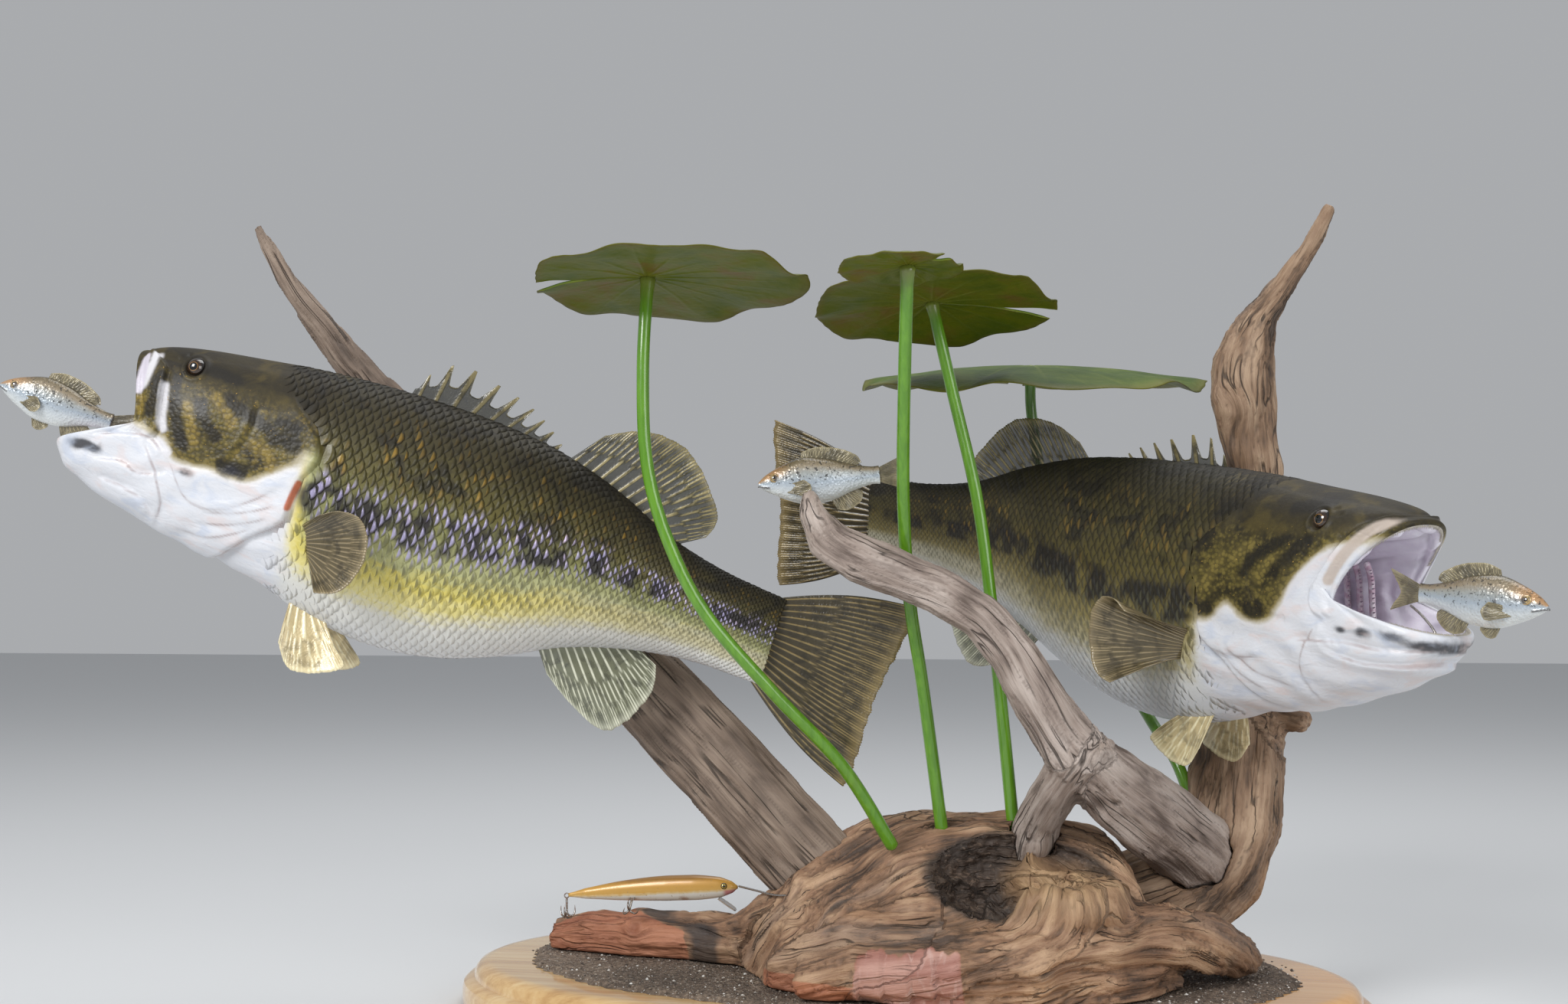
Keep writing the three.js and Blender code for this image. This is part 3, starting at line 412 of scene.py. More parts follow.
def set_mark(mesh, name, values):
    """Stores a number or a vector for each point of a mesh, for its finish to read."""
    vector = values.size == 3 * len(mesh.vertices)
    layer = mesh.attributes.new(name, "FLOAT_VECTOR" if vector else "FLOAT", "POINT")
    layer.data.foreach_set("vector" if vector else "value", values.astype(np.float32).ravel())


def add_piece(name, points, faces, finish, nodes=(), slot=None, uv=None, **marks):
    """Makes a smooth mesh object in the row frame from points in mm; it rides on the root body."""
    points = np.asarray(points, float).reshape(-1, 3)
    count, sides = faces.shape
    corners = faces.ravel()
    mesh = bpy.data.meshes.new(name)
    mesh.vertices.add(len(points))
    mesh.vertices.foreach_set("co", (points * MM).astype(np.float32).ravel())
    mesh.loops.add(len(corners))
    mesh.loops.foreach_set("vertex_index", corners.astype(np.int32))
    mesh.polygons.add(count)
    mesh.polygons.foreach_set("loop_start", np.arange(0, count * sides, sides, dtype=np.int32))
    for key, values in marks.items():
        set_mark(mesh, key, values)
    if uv is not None:
        layer = mesh.uv_layers.new(name="OFBake")
        layer.data.foreach_set("uv", np.asarray(uv, np.float32)[corners].ravel())
    mesh.update(calc_edges=True)
    mesh.validate()
    mesh.shade_smooth()
    piece = bpy.data.objects.new(name, mesh)
    bpy.context.scene.collection.objects.link(piece)
    return finish_piece(piece, finish, nodes)


def finish_piece(piece, finish, nodes=()):
    piece.data.materials.append(finish)
    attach(piece, "root")
    if nodes:
        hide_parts(*nodes)
    return piece


def mesh_points(mesh):
    """Vertex places and normals in metres."""
    points = np.empty(len(mesh.vertices) * 3)
    normal = np.empty(len(mesh.vertices) * 3)
    mesh.vertices.foreach_get("co", points)
    mesh.vertex_normals.foreach_get("vector", normal)
    return points.reshape(-1, 3), normal.reshape(-1, 3)


def deselect():
    if bpy.context.object and bpy.context.object.mode != "OBJECT":
        bpy.ops.object.mode_set(mode="OBJECT")
    bpy.ops.object.select_all(action="DESELECT")


def edit_all():
    bpy.ops.object.mode_set(mode="EDIT")
    bpy.ops.mesh.select_all(action="SELECT")


def own_nodes(fish, part):
    """The solid that a part stands for; the second bass is one solid, which its skin replaces."""
    return (f"bass_{part}",) if fish == "bass" else ()


def weld(piece):
    """Merges the points that meet at poles and edges."""
    work = bmesh.new()
    work.from_mesh(piece.data)
    bmesh.ops.remove_doubles(work, verts=work.verts, dist=1e-6)
    bmesh.ops.dissolve_degenerate(work, edges=work.edges, dist=1e-7)
    work.to_mesh(piece.data)
    work.free()
    piece.data.shade_smooth()


def facing_out(points, quads):
    """The faces, turned over if the closed shell they make is inside out."""
    corners = np.asarray(points).reshape(-1, 3)[quads]
    volume = np.einsum("ij,ij->i", corners[:, 0], np.cross(corners[:, 1], corners[:, 2])).sum()
    if quads.shape[1] == 4:
        volume += np.einsum("ij,ij->i", corners[:, 0], np.cross(corners[:, 2], corners[:, 3])).sum()
    return quads[:, ::-1] if volume < 0 else quads


def wrapped_quads(points):
    """Outward faces over a grid of points whose columns wrap round."""
    return facing_out(points, grid_quads(len(points), points.shape[1], wrap=True))


def with_poles(grid):
    """The grid with a row at each end drawn together to a point."""
    first, last = (np.repeat(row.mean(1, keepdims=True), grid.shape[1], 1) for row in (grid[:1], grid[-1:]))
    return np.concatenate([first, grid, last])


def held_ends(grid):
    return np.concatenate([grid[:1], grid, grid[-1:]])


def folded(grid):
    """The grid's columns out along a sheet's front and home along its back."""
    return np.concatenate([grid, grid[:, ::-1]], 1)


def folded_quads(points):
    """Outward faces over a sheet that folds back below itself, with both its side edges closed."""
    rows, width = points.shape[:2]
    i = np.arange(width // 2 - 1)
    first = np.stack([i, i + 1, width - 2 - i, width - 1 - i], 1)
    last = first[:, ::-1] + (rows - 1) * width
    return facing_out(points, np.concatenate([grid_quads(rows, width, wrap=True), first, last]))


def repeated(faces, count, points):
    """The faces of one small form, repeated for a count of forms that have so many points each."""
    return (faces[None] + np.arange(count)[:, None, None] * points).reshape(-1, faces.shape[1])


class Shell:
    """Collects points and faces of several forms that make one piece."""

    def __init__(self):
        self.points, self.quads, self.values = [], [], {}
        self.size = 0

    def add(self, points, quads, **values):
        points = np.asarray(points, float).reshape(-1, 3)
        self.points.append(points)
        self.quads.append(quads + self.size)
        for key, value in values.items():
            flat = np.ravel(value) if np.ndim(value) else np.full(len(points), value)
            self.values.setdefault(key, []).append(flat)
        self.size += len(points)

    def piece(self, name, finish, nodes=(), slot=None):
        values = {key: np.concatenate(parts) for key, parts in self.values.items()}
        return add_piece(name, np.concatenate(self.points), np.concatenate(self.quads), finish, nodes, slot,
                         **values)


def tube(path, radius, sides=14, steps=None, taper=None):
    """Points and quads of a closed smooth rod along a path of points."""
    steps = steps or 8 * (len(path) - 1)
    centre = smooth_line(path, steps + 1)
    ahead = unit(np.gradient(centre, axis=0))
    side = unit(np.cross(ahead, (0.37, -0.91, 0.19)))
    front = np.cross(ahead, side)
    share = np.linspace(0, 1, steps + 1)
    radii = radius * (np.ones_like(share) if taper is None else np.interp(share, *taper))
    angle = round_angles(sides)[:, None]
    ring = np.cos(angle) * side[:, None] + np.sin(angle) * front[:, None]
    body = centre[:, None] + ring * radii[:, None, None]

    def cap(end, way, out, width):
        return [centre[end] + way * ahead[end] * radii[end] * out + ring[end] * radii[end] * width]

    points = np.concatenate([cap(0, -1, 0.6, 0.02), cap(0, -1, 0.45, 0.6), body,
                             cap(-1, 1, 0.45, 0.6), cap(-1, 1, 0.6, 0.02)])
    return points, wrapped_quads(points), share


# -------- finishes

class Value:
    """A shader socket that takes part in arithmetic."""

    def __init__(self, finish, socket):
        self.finish = finish
        self.socket = socket

    def math(self, operation, *others):
        return self.finish.value("Math", dict(enumerate((self, *others))), operation=operation)

    def __add__(self, other):
        return self.math("ADD", other)

    def __sub__(self, other):
        return self.math("SUBTRACT", other)

    def __rsub__(self, other):
        return (self * -1) + other

    def __mul__(self, other):
        return self.math("MULTIPLY", other)

    __radd__ = __add__
    __rmul__ = __mul__

    def between(self, low, high):
        """0 below low and 1 above high, smooth between; low may be the larger."""
        return self.finish.value("MapRange", {"Value": self, "From Min": low, "From Max": high},
                                 interpolation_type="SMOOTHSTEP")

    def part(self, axis):
        return self.finish.value("SeparateXYZ", {0: self}, "XYZ".index(axis))


class Finish:
    """A procedural material, built node by node round one Principled shader."""

    def __init__(self, name):
        self.material = bpy.data.materials.new(name)
        self.material.use_nodes = True
        self.tree = self.material.node_tree
        self.tree.nodes.clear()
        self.shader = self.tree.nodes.new("ShaderNodeBsdfPrincipled")
        output = self.tree.nodes.new("ShaderNodeOutputMaterial")
        self.tree.links.new(self.shader.outputs[0], output.inputs[0])

    def value(self, kind, inputs, output=0, stops=(), **settings):
        """Adds a node of this kind and gives one of its outputs."""
        node = self.tree.nodes.new(f"ShaderNode{kind}")
        for key, value in settings.items():
            setattr(node, key, value)
        if stops:
            self._set_stops(node.color_ramp, stops)
        for key, value in inputs.items():
            if isinstance(value, Value):
                self.tree.links.new(value.socket, node.inputs[key])
            else:
                node.inputs[key].default_value = value
        return Value(self, node.outputs[output])

    @staticmethod
    def _set_stops(ramp, stops):
        while len(ramp.elements) < len(stops):
            ramp.elements.new(0.5)
        for element, (place, colour) in zip(ramp.elements, stops):
            element.position = place
            element.color = (*colour[:3], 1)

    def mark(self, name):
        """A number stored for each point of the piece."""
        return self.value("Attribute", {}, "Fac", attribute_name=name)

    def vector_mark(self, name):
        return self.value("Attribute", {}, "Vector", attribute_name=name)

    def place(self):
        return self.value("TexCoord", {}, "Object")

    def scaled(self, vector, scale, turn=(0, 0, 0)):
        """The vector stretched along its axes, so that a pattern on it runs long or short."""
        return self.value("Mapping", {"Vector": vector, "Scale": scale, "Rotation": turn})

    def noise(self, vector, scale, detail=3, distortion=0.0, roughness=0.5):
        return self.value("TexNoise", {"Vector": vector, "Scale": scale, "Detail": detail,
                                       "Distortion": distortion, "Roughness": roughness})

    def cells(self, vector, scale):
        return self.value("TexVoronoi", {"Vector": vector, "Scale": scale})

    def ramp(self, value, stops):
        return self.value("ValToRGB", {0: value}, stops=stops)

    def mix(self, share, first, second):
        """The first colour where the share is 0 and the second where it is 1."""
        first, second = (c if isinstance(c, Value) else (*c[:3], 1) for c in (first, second))
        return self.value("Mix", {0: share, 6: first, 7: second}, 2, data_type="RGBA", clamp_factor=True)

    def coats(self, colour, *coats):
        """The colour under coats of paint, each a share and a paint, laid one over the other."""
        for share, paint in coats:
            colour = self.mix(share, colour, paint)
        return colour

    def bump(self, height, distance, strength):
        return self.value("Bump", {"Height": height, "Distance": distance, "Strength": strength})

    def done(self, **sockets):
        for key, value in sockets.items():
            socket = self.shader.inputs[key.replace("_", " ")]
            if isinstance(value, Value):
                self.tree.links.new(value.socket, socket)
            elif socket.type == "RGBA":
                socket.default_value = (*value[:3], 1)
            else:
                socket.default_value = value
        return self.material


def named_finish(template):
    """Lets a function fill in a finish, which is made only the first time its name comes up."""
    def wrap(fill):
        @wraps(fill)
        def find(*facts, **options):
            name = template.format(*facts)
            return bpy.data.materials.get(name) or fill(Finish(name), *facts, **options)
        return find
    return wrap


# -------- bass skin and scales

BODY_STEP, HEAD_STEP, MOUTH_STEP = 3.0, 1.1, 1.7     # ring spacing
HEAD_START = 56
SKIN_COLUMNS = 280
SCALE_EDGE = ((122, 72), (112, 54), (98, 38), *GILL_EDGE[2:8], (83, -56), (92, -100))
SCALE_START = 112
BAR_WIDTHS = {"dark_bars": 4.8, "gold_bars": 4.4, "white_bars": 3.4, "gum_bars": 3.4, "red_bars": 2.0}


def skin_places(form):
    """Ring places from tail root to throat, close together on the head."""
    fine = np.linspace(0, MOUTH_PLACE, 1500)
    points = form.straight(fine[:, None], round_angles(12)[None])
    stride = np.linalg.norm(np.diff(points, axis=0), axis=-1).max(1)
    outside = np.where(points[:-1, 3, 0] < HEAD_START, BODY_STEP, HEAD_STEP)
    step = np.where(fine[:-1] > LIP_PLACE + 0.4, MOUTH_STEP, outside)
    count = np.concatenate([[0], np.cumsum(stride / step)])
    return np.interp(np.linspace(0, count[-1], int(count[-1]) + 1), count, fine)


def column_angles(form, count, place=10.0):
    """Angles round the body that are evenly spaced along the skin at one place."""
    fine = np.linspace(0, TURN, 2400)
    ring = form.straight(np.full_like(fine, place), fine)
    run = np.concatenate([[0], np.cumsum(np.linalg.norm(np.diff(ring, axis=0), axis=1))])
    return np.interp(np.linspace(0, run[-1], count, endpoint=False), run, fine)


def head_relief(form, place, angle, points):
    """How far the head's plates, folds, lids and lips stand out of the plain skin."""
    x, _, z = np.moveaxis(points, -1, 0)
    height = plate_step(x, z, GILL_EDGE, 2.6, 16, 3.0, 3.0)
    for line, *shape in ((CHEEK_EDGE, 1.1, 7, 1.2, 2.2),
                         (form.pose["upper_jaw_edge"], 2.4, 9, 1.9, 2.2),
                         (form.pose["jaw_edge"], 0.8, 8, 1.1, 2.4),
                         *((fold, 0.8, 5, 1.0, 1.6) for fold in form.pose["throat_folds"]),
                         *((fold, 1.3, 7, 1.5, 1.9) for fold in form.pose["jaw_folds"])):
        height += plate_step(x, z, line, *shape)
    soft = smoothstep(58, 80, x) * smoothstep(-8, -26, z)
    height += soft * 0.5 * np.sin(0.13 * x + 0.3 * z + 1.6 * np.sin(0.07 * x - 0.05 * z))
    height += 1.6 * bell(np.hypot(x - 141, 1.2 * (z - 6)), 0, 17)
    eye = np.hypot(x - EYE_CENTRE[0], z - EYE_CENTRE[2])
    height += 1.3 * bell(eye, EYE_RADIUS + 0.9, 1.3)
    height -= 3.0 * smoothstep(EYE_RADIUS - 0.2, EYE_RADIUS - 1.8, eye)
    for nostril_x, nostril_z in NOSTRILS:
        away = np.hypot(x - nostril_x, z - nostril_z)
        height += 0.5 * bell(away, 1.9, 0.8) - 1.4 * bell(away, 0, 1.1)
    outside = smoothstep(LIP_PLACE + 0.05, LIP_PLACE - 0.35, place)
    lips = 0.9 * bell(place, LIP_PLACE - 0.1, 0.35) - 0.8 * bell(place, LIP_PLACE - 0.85, 0.25)
    inside = smoothstep(LIP_PLACE + 0.5, LIP_PLACE + 1.2, place)
    upper = smoothstep(-0.1, 0.5, np.cos(angle))
    folds = (1.5 * np.sin(11 * angle + 0.5 * np.sin(2 * place)) + 0.6 * np.sin(27 * angle)) * upper
    folds += 0.5 * np.sin(21 * angle) * (1 - upper) - 2.2 * bell(place, LIP_PLACE + 1.55, 0.12) * upper
    folds += 1.2 * bell(place, LIP_PLACE + 1.15, 0.25) * upper
    folds += 1.3 * np.sin(7.5 * place) * (1 - upper) * smoothstep(LIP_PLACE + 2.2, LIP_PLACE + 3, place)
    return height * outside + lips + folds * inside * smoothstep(MOUTH_PLACE, MOUTH_PLACE - 0.6, place)


def stripes(x, z, lines, width):
    """How near each point lies to any of the lines, 0 to 1, fading at the lines' ends."""
    nearest = np.zeros(x.shape)
    some = x > 55
    for line in lines:
        distance, share = line_distance(x[some], z[some], line, 24)
        nearest[some] = np.maximum(nearest[some], bell(distance, 0, width) * fade_ends(share, 0.2))
    return nearest


def markings(form, place, points):
    """Tone from the white belly 0 to the dark back 1, the side band, and on the head its bars and smudges."""
    x, _, z = np.moveaxis(points, -1, 0)
    pose = form.pose
    depth = form.height(place, z)
    head = smoothstep(58, 82, x)
    over, _ = line_distance(x, z, pose["pale_top"])
    cheek = 0.05 + 0.57 * smoothstep(-6, 7, over) + 0.36 * smoothstep(4, 46, z)
    band = bell(depth, 0.47 + 0.11 * smoothstep(60, -230, x), 0.085) * (1 - head)
    smudge = sum(bell(np.hypot(0.7 * (x - sx), 1.4 * (z - sz)), 0, radius)
                 for sx, sz, radius in pose["smudges"])
    marks = {"tone": lerp(depth, cheek, head), "band": band, "smudge": np.clip(smudge, 0, 1) * head,
             "head": head}
    marks.update({key: stripes(x, z, pose[key], width) for key, width in BAR_WIDTHS.items()})
    # Thin lines along the lower gill edge, the jaw edge and the folds, where the finish paints shade.
    lines = (GILL_EDGE[6:], pose["jaw_edge"], *pose["throat_folds"], *pose["jaw_folds"])
    marks["lines"] = stripes(x, z, lines, 1.1)
    return marks


def bass_skin(fish):
    """The whole skin of a bass, lips and mouth lining included, as one closed piece."""
    form = BassForm(FISH[fish])
    place = skin_places(form)[:, None]
    angle = column_angles(form, SKIN_COLUMNS)[None]
    place, angle = np.broadcast_arrays(place, angle)
    depth = np.where(place > LIP_PLACE + 0.3, SKIN_DEPTH, -SKIN_DEPTH)
    plain = form.straight(place, angle, depth)
    relief = head_relief(form, place, angle, plain)
    for _ in range(2):
        relief[1:-1] = (relief[:-2] + 2 * relief[1:-1] + relief[2:]) / 4
        relief = (np.roll(relief, 1, 1) + 2 * relief + np.roll(relief, -1, 1)) / 4
    rest = with_poles(plain + grid_normals(plain, wrap=True) * relief[..., None])
    marks = markings(form, place, plain)
    marks["lining"] = smoothstep(LIP_PLACE + 0.15, LIP_PLACE + 0.9, place)
    # The crease mark holds the relief's grooves, where the finish paints shade.
    marks["crease"] = np.clip(-relief / 1.6, 0, 1)
    posed = form.posed(rest)
    nodes = ["second_bass"] if fish == "second_bass" else [
        f"bass_{part}" for part in ("head", "lower_jaw", "maxilla_left", "maxilla_right", "gill_cover_left",
                                    "gill_cover_right", "trunk", "tail_stalk")]
    weld(add_piece(f"{fish}_skin", posed, wrapped_quads(posed), skin_finish(fish), nodes, "bass_skin",
                   rest=rest * MM, **{key: held_ends(value) for key, value in marks.items()}))


class ArcMap:
    """Angles round one side of a body at shares of the way from back to belly."""

    def __init__(self, form):
        self.places = np.linspace(0, LIP_PLACE, 260)
        self.shares = np.linspace(0, 1, 80)
        angle = np.linspace(0, math.pi, 120)
        points = form.straight(self.places[:, None], angle[None])
        run = np.cumsum(np.linalg.norm(np.diff(points, axis=1), axis=-1), axis=1)
        run = np.concatenate([np.zeros((len(run), 1)), run], 1)
        self.half_girth = run[:, -1]
        self.table = np.array([np.interp(self.shares, row / row[-1], angle) for row in run])

    def angle(self, place, share):
        p = np.clip(place / LIP_PLACE * (len(self.places) - 1), 0, len(self.places) - 1.001)
        s = np.clip(share, 0, 1) * (len(self.shares) - 1.001)
        i, j = p.astype(int), s.astype(int)
        f, g = p - i, s - j
        return lerp(lerp(self.table[i, j], self.table[i + 1, j], f),
                    lerp(self.table[i, j + 1], self.table[i + 1, j + 1], f), g)


def bass_scales(fish, label, side, scale_rows):
    """The scales of one side, in staggered rows, each a curved plate that lies tailwards."""
    form = BassForm(FISH[fish])
    arcs = ArcMap(form)
    random = np.random.default_rng(7 + side)
    roots = []
    x, column = float(SCALE_START), 0
    while x > BODY_STATIONS[0][0] + 2:
        girth = np.interp(form.place_of(x), arcs.places, arcs.half_girth) / scale_rows
        spacing = 1.0 + 0.21 * girth
        for row in range(scale_rows):
            share = (row + 0.5 * (column % 2) + 0.25) / scale_rows
            roots.append((x + random.uniform(-0.2, 0.2), share, spacing))
        x -= spacing
        column += 1
    roots = np.array(roots)
    place = form.place_of(roots[:, 0])
    spots = form.straight(place, arcs.angle(place, roots[:, 1]))
    ahead, _ = line_distance(spots[:, 0], spots[:, 2], SCALE_EDGE)
    roots = roots[ahead < -0.5]
    count = len(roots)
    across = np.array((-1, -0.5, 0, 0.5, 1))[None, None, :]
    along = np.array((0, 0.55, 1))[None, :, None]
    x, share, spacing = (roots[:, k][:, None, None] for k in range(3))
    reach = 2.5 * spacing * along * (1 - 0.42 * across ** 2)
    width = 0.66 / scale_rows * np.array((0.8, 1.0, 0.86))[None, :, None]
    lift = random.uniform(0.8, 1.25, (count, 1, 1))
    roll = random.uniform(-0.13, 0.13, (count, 1, 1))
    height = -0.35 + 0.62 * lift * along ** 1.4 - 0.16 * across ** 2 + roll * across * along
    height = height - 0.22 * smoothstep(30, 80, x) * smoothstep(0.55, 0.75, share)
    top = np.broadcast_arrays(x - reach, share + across * width, height, along + 0.25 * across ** 2 * along,
                              np.abs(across))
    rim = [grid[:, -1:] for grid in top]
    rim[0] = rim[0] + 0.3
    rim[2] = rim[2] - 0.75
    place_x, share, height, edge, aside = (np.concatenate([a, b], 1) for a, b in zip(top, rim))
    place = form.place_of(np.clip(place_x, BODY_STATIONS[0][0], None))
    overhang = np.minimum(place_x - BODY_STATIONS[0][0], 0)
    points = form.straight(place, side * arcs.angle(place, share), height - SKIN_DEPTH)
    points[..., 0] += overhang
    quads = repeated(grid_quads(4, 5), count, 20)
    if side > 0:
        quads = quads[:, ::-1]
    marks = {key: value for key, value in markings(form, place, points).items() if not key.endswith("bars")}
    pick = np.broadcast_to(random.uniform(0, 1, (count, 1, 1)), place.shape)
    root_u = (roots[:, 0] - BODY_STATIONS[0][0]) / 500 + 0.1
    root_v = 0.5 + side * roots[:, 1] * 0.48
    patch = [np.linspace(-0.0015, 0.0015, count) for count in (4, 5)]
    local = np.stack(np.meshgrid(*patch, indexing="ij"), -1)
    uv = np.stack([root_u, root_v], -1)[:, None, None] + local[None]
    add_piece(f"{fish}_scales_{label}", form.posed(points), quads, scales_finish(fish), (), "bass_skin",
              uv=uv.reshape(-1, 2), rest=points * MM, edge=edge, aside=aside, pick=pick, **marks)


# Colours of each bass, and last the strength of the painted flash highlight on the scales of the side band.
BASS_PAINT = {
    "bass": {
        "tones": ((0.0, (0.72, 0.73, 0.74)), (0.13, (0.72, 0.71, 0.65)), (0.2, (0.74, 0.66, 0.28)),
                  (0.27, (0.66, 0.56, 0.13)), (0.36, (0.42, 0.42, 0.2)), (0.49, (0.22, 0.22, 0.08)),
                  (0.62, (0.105, 0.088, 0.02)), (0.8, (0.044, 0.035, 0.01)), (1.0, (0.018, 0.014, 0.006))),
        "band": (0.018, 0.014, 0.02), "gold": (0.46, 0.27, 0.04), "dark": (0.01, 0.008, 0.005),
        "cheek": (0.24, 0.17, 0.035), "gum": (0.62, 0.58, 0.66), "flash_highlight": 0.6},
    "second_bass": {
        "tones": ((0.0, (0.66, 0.7, 0.77)), (0.15, (0.68, 0.69, 0.68)), (0.24, (0.48, 0.43, 0.26)),
                  (0.34, (0.28, 0.23, 0.085)), (0.46, (0.17, 0.135, 0.04)), (0.6, (0.095, 0.076, 0.02)),
                  (0.72, (0.065, 0.053, 0.015)), (0.85, (0.038, 0.031, 0.011)), (1.0, (0.014, 0.012, 0.007))),
        "band": (0.016, 0.013, 0.01), "gold": (0.4, 0.25, 0.05), "dark": (0.01, 0.008, 0.005),
        "cheek": (0.19, 0.145, 0.035), "gum": (0.5, 0.42, 0.36), "flash_highlight": 0.0},
}
HEAD_TONES = ((0.0, (0.69, 0.71, 0.76)), (0.2, (0.68, 0.665, 0.665)), (0.34, (0.46, 0.41, 0.3)),
              (0.48, (0.21, 0.165, 0.055)), (0.62, (0.105, 0.082, 0.018)), (0.8, (0.05, 0.038, 0.01)),
              (1.0, (0.02, 0.015, 0.006)))
# Mouth lining, pale lavender to deep purple; the darker end is partly painted shade, laid by a random tone
# and a little more just past the lip.
LINING_TONES = ((0.0, (0.86, 0.84, 0.91)), (0.5, (0.74, 0.67, 0.79)), (1.0, (0.44, 0.32, 0.42)))


def fish_colour(finish, fish, rest, mottle, grit):
    """The painted markings that skin and scales share."""
    paint = BASS_PAINT[fish]
    tone = finish.mark("tone")
    shifted = tone + (mottle - 0.5) * 0.2 * tone.between(0.05, 0.3) + (grit - 0.5) * 0.06
    colour = finish.mix(finish.mark("head").between(0.2, 0.9), finish.ramp(shifted, paint["tones"]),
                        finish.ramp(shifted, HEAD_TONES))
    rear = rest.part("X").between(-0.03, -0.21) * tone.between(0.1, 0.18) * tone.between(0.4, 0.3)
    blotch = finish.noise(finish.scaled(rest, (1.0, 1.0, 1.5)), 40, 3, 0.8).between(0.5, 0.64)
    breaks = finish.noise(finish.scaled(rest, (1.0, 1.0, 0.6)), 62, 3, 0.5).between(0.38, 0.54)
    return finish.coats(colour, (rear * 0.7, (0.52, 0.5, 0.4)),
                        (blotch * tone.between(0.46, 0.64) * 0.72, paint["dark"]),
                        (finish.mark("band").between(0.22, 0.7) * breaks * 0.93, paint["band"]))


@named_finish("{}_scales_finish")
def scales_finish(finish, fish):
    paint = BASS_PAINT[fish]
    rest = finish.vector_mark("rest")
    tone = finish.mark("tone")
    edge = finish.mark("edge")
    pick = finish.mark("pick")
    middle = finish.mark("aside").between(0.75, 0.25)
    mottle = finish.noise(finish.scaled(rest, (1.0, 1.6, 2.2)), 75, 4, 0.6)
    rims = edge.between(0.66, 1.1) * tone.between(0.34, 0.48)
    spots = edge.between(0.4, 0.55) * edge.between(0.98, 0.75) * middle * tone.between(0.19, 0.26)
    spots = spots * tone.between(0.56, 0.46) * pick.between(0.1, 0.25)
    centre = edge.between(0.28, 0.55) * edge.between(1.05, 0.75) * middle
    patchy = finish.noise(rest, 36, 2, 0.5).between(0.42, 0.62)
    gold = centre * pick.between(0.45, 1.0) * tone.between(0.44, 0.58) * tone.between(0.95, 0.75) * patchy
    # Painted highlight: violet-white scale centres along the side band stand for a flash's glint; the same
    # mask raises the metallic and lowers the roughness.
    flash_highlight = finish.mark("band").between(0.04, 0.3) * centre * pick.between(0.25, 0.5) * paint["flash_highlight"]
    colour = finish.coats(
        fish_colour(finish, fish, rest, mottle, finish.noise(rest, 620, 2)),
        (rims * 0.5, paint["dark"]), (spots * 0.72, (0.1, 0.095, 0.045)), (gold * 0.6, paint["gold"]),
        (flash_highlight, (0.62, 0.56, 0.9)))
    normal = finish.bump(finish.noise(rest, 900, 2), 0.0004, 0.25)
    return finish.done(Base_Color=colour, Metallic=flash_highlight * 0.6 + gold * 0.4, Normal=normal,
                       Roughness=0.3 + pick * 0.14 - flash_highlight * 0.15 + tone.between(0.62, 0.9) * 0.28,
                       Coat_Weight=tone.between(0.95, 0.6) * 0.22 + 0.03, Coat_Roughness=0.12,
                       Specular_IOR_Level=0.4)


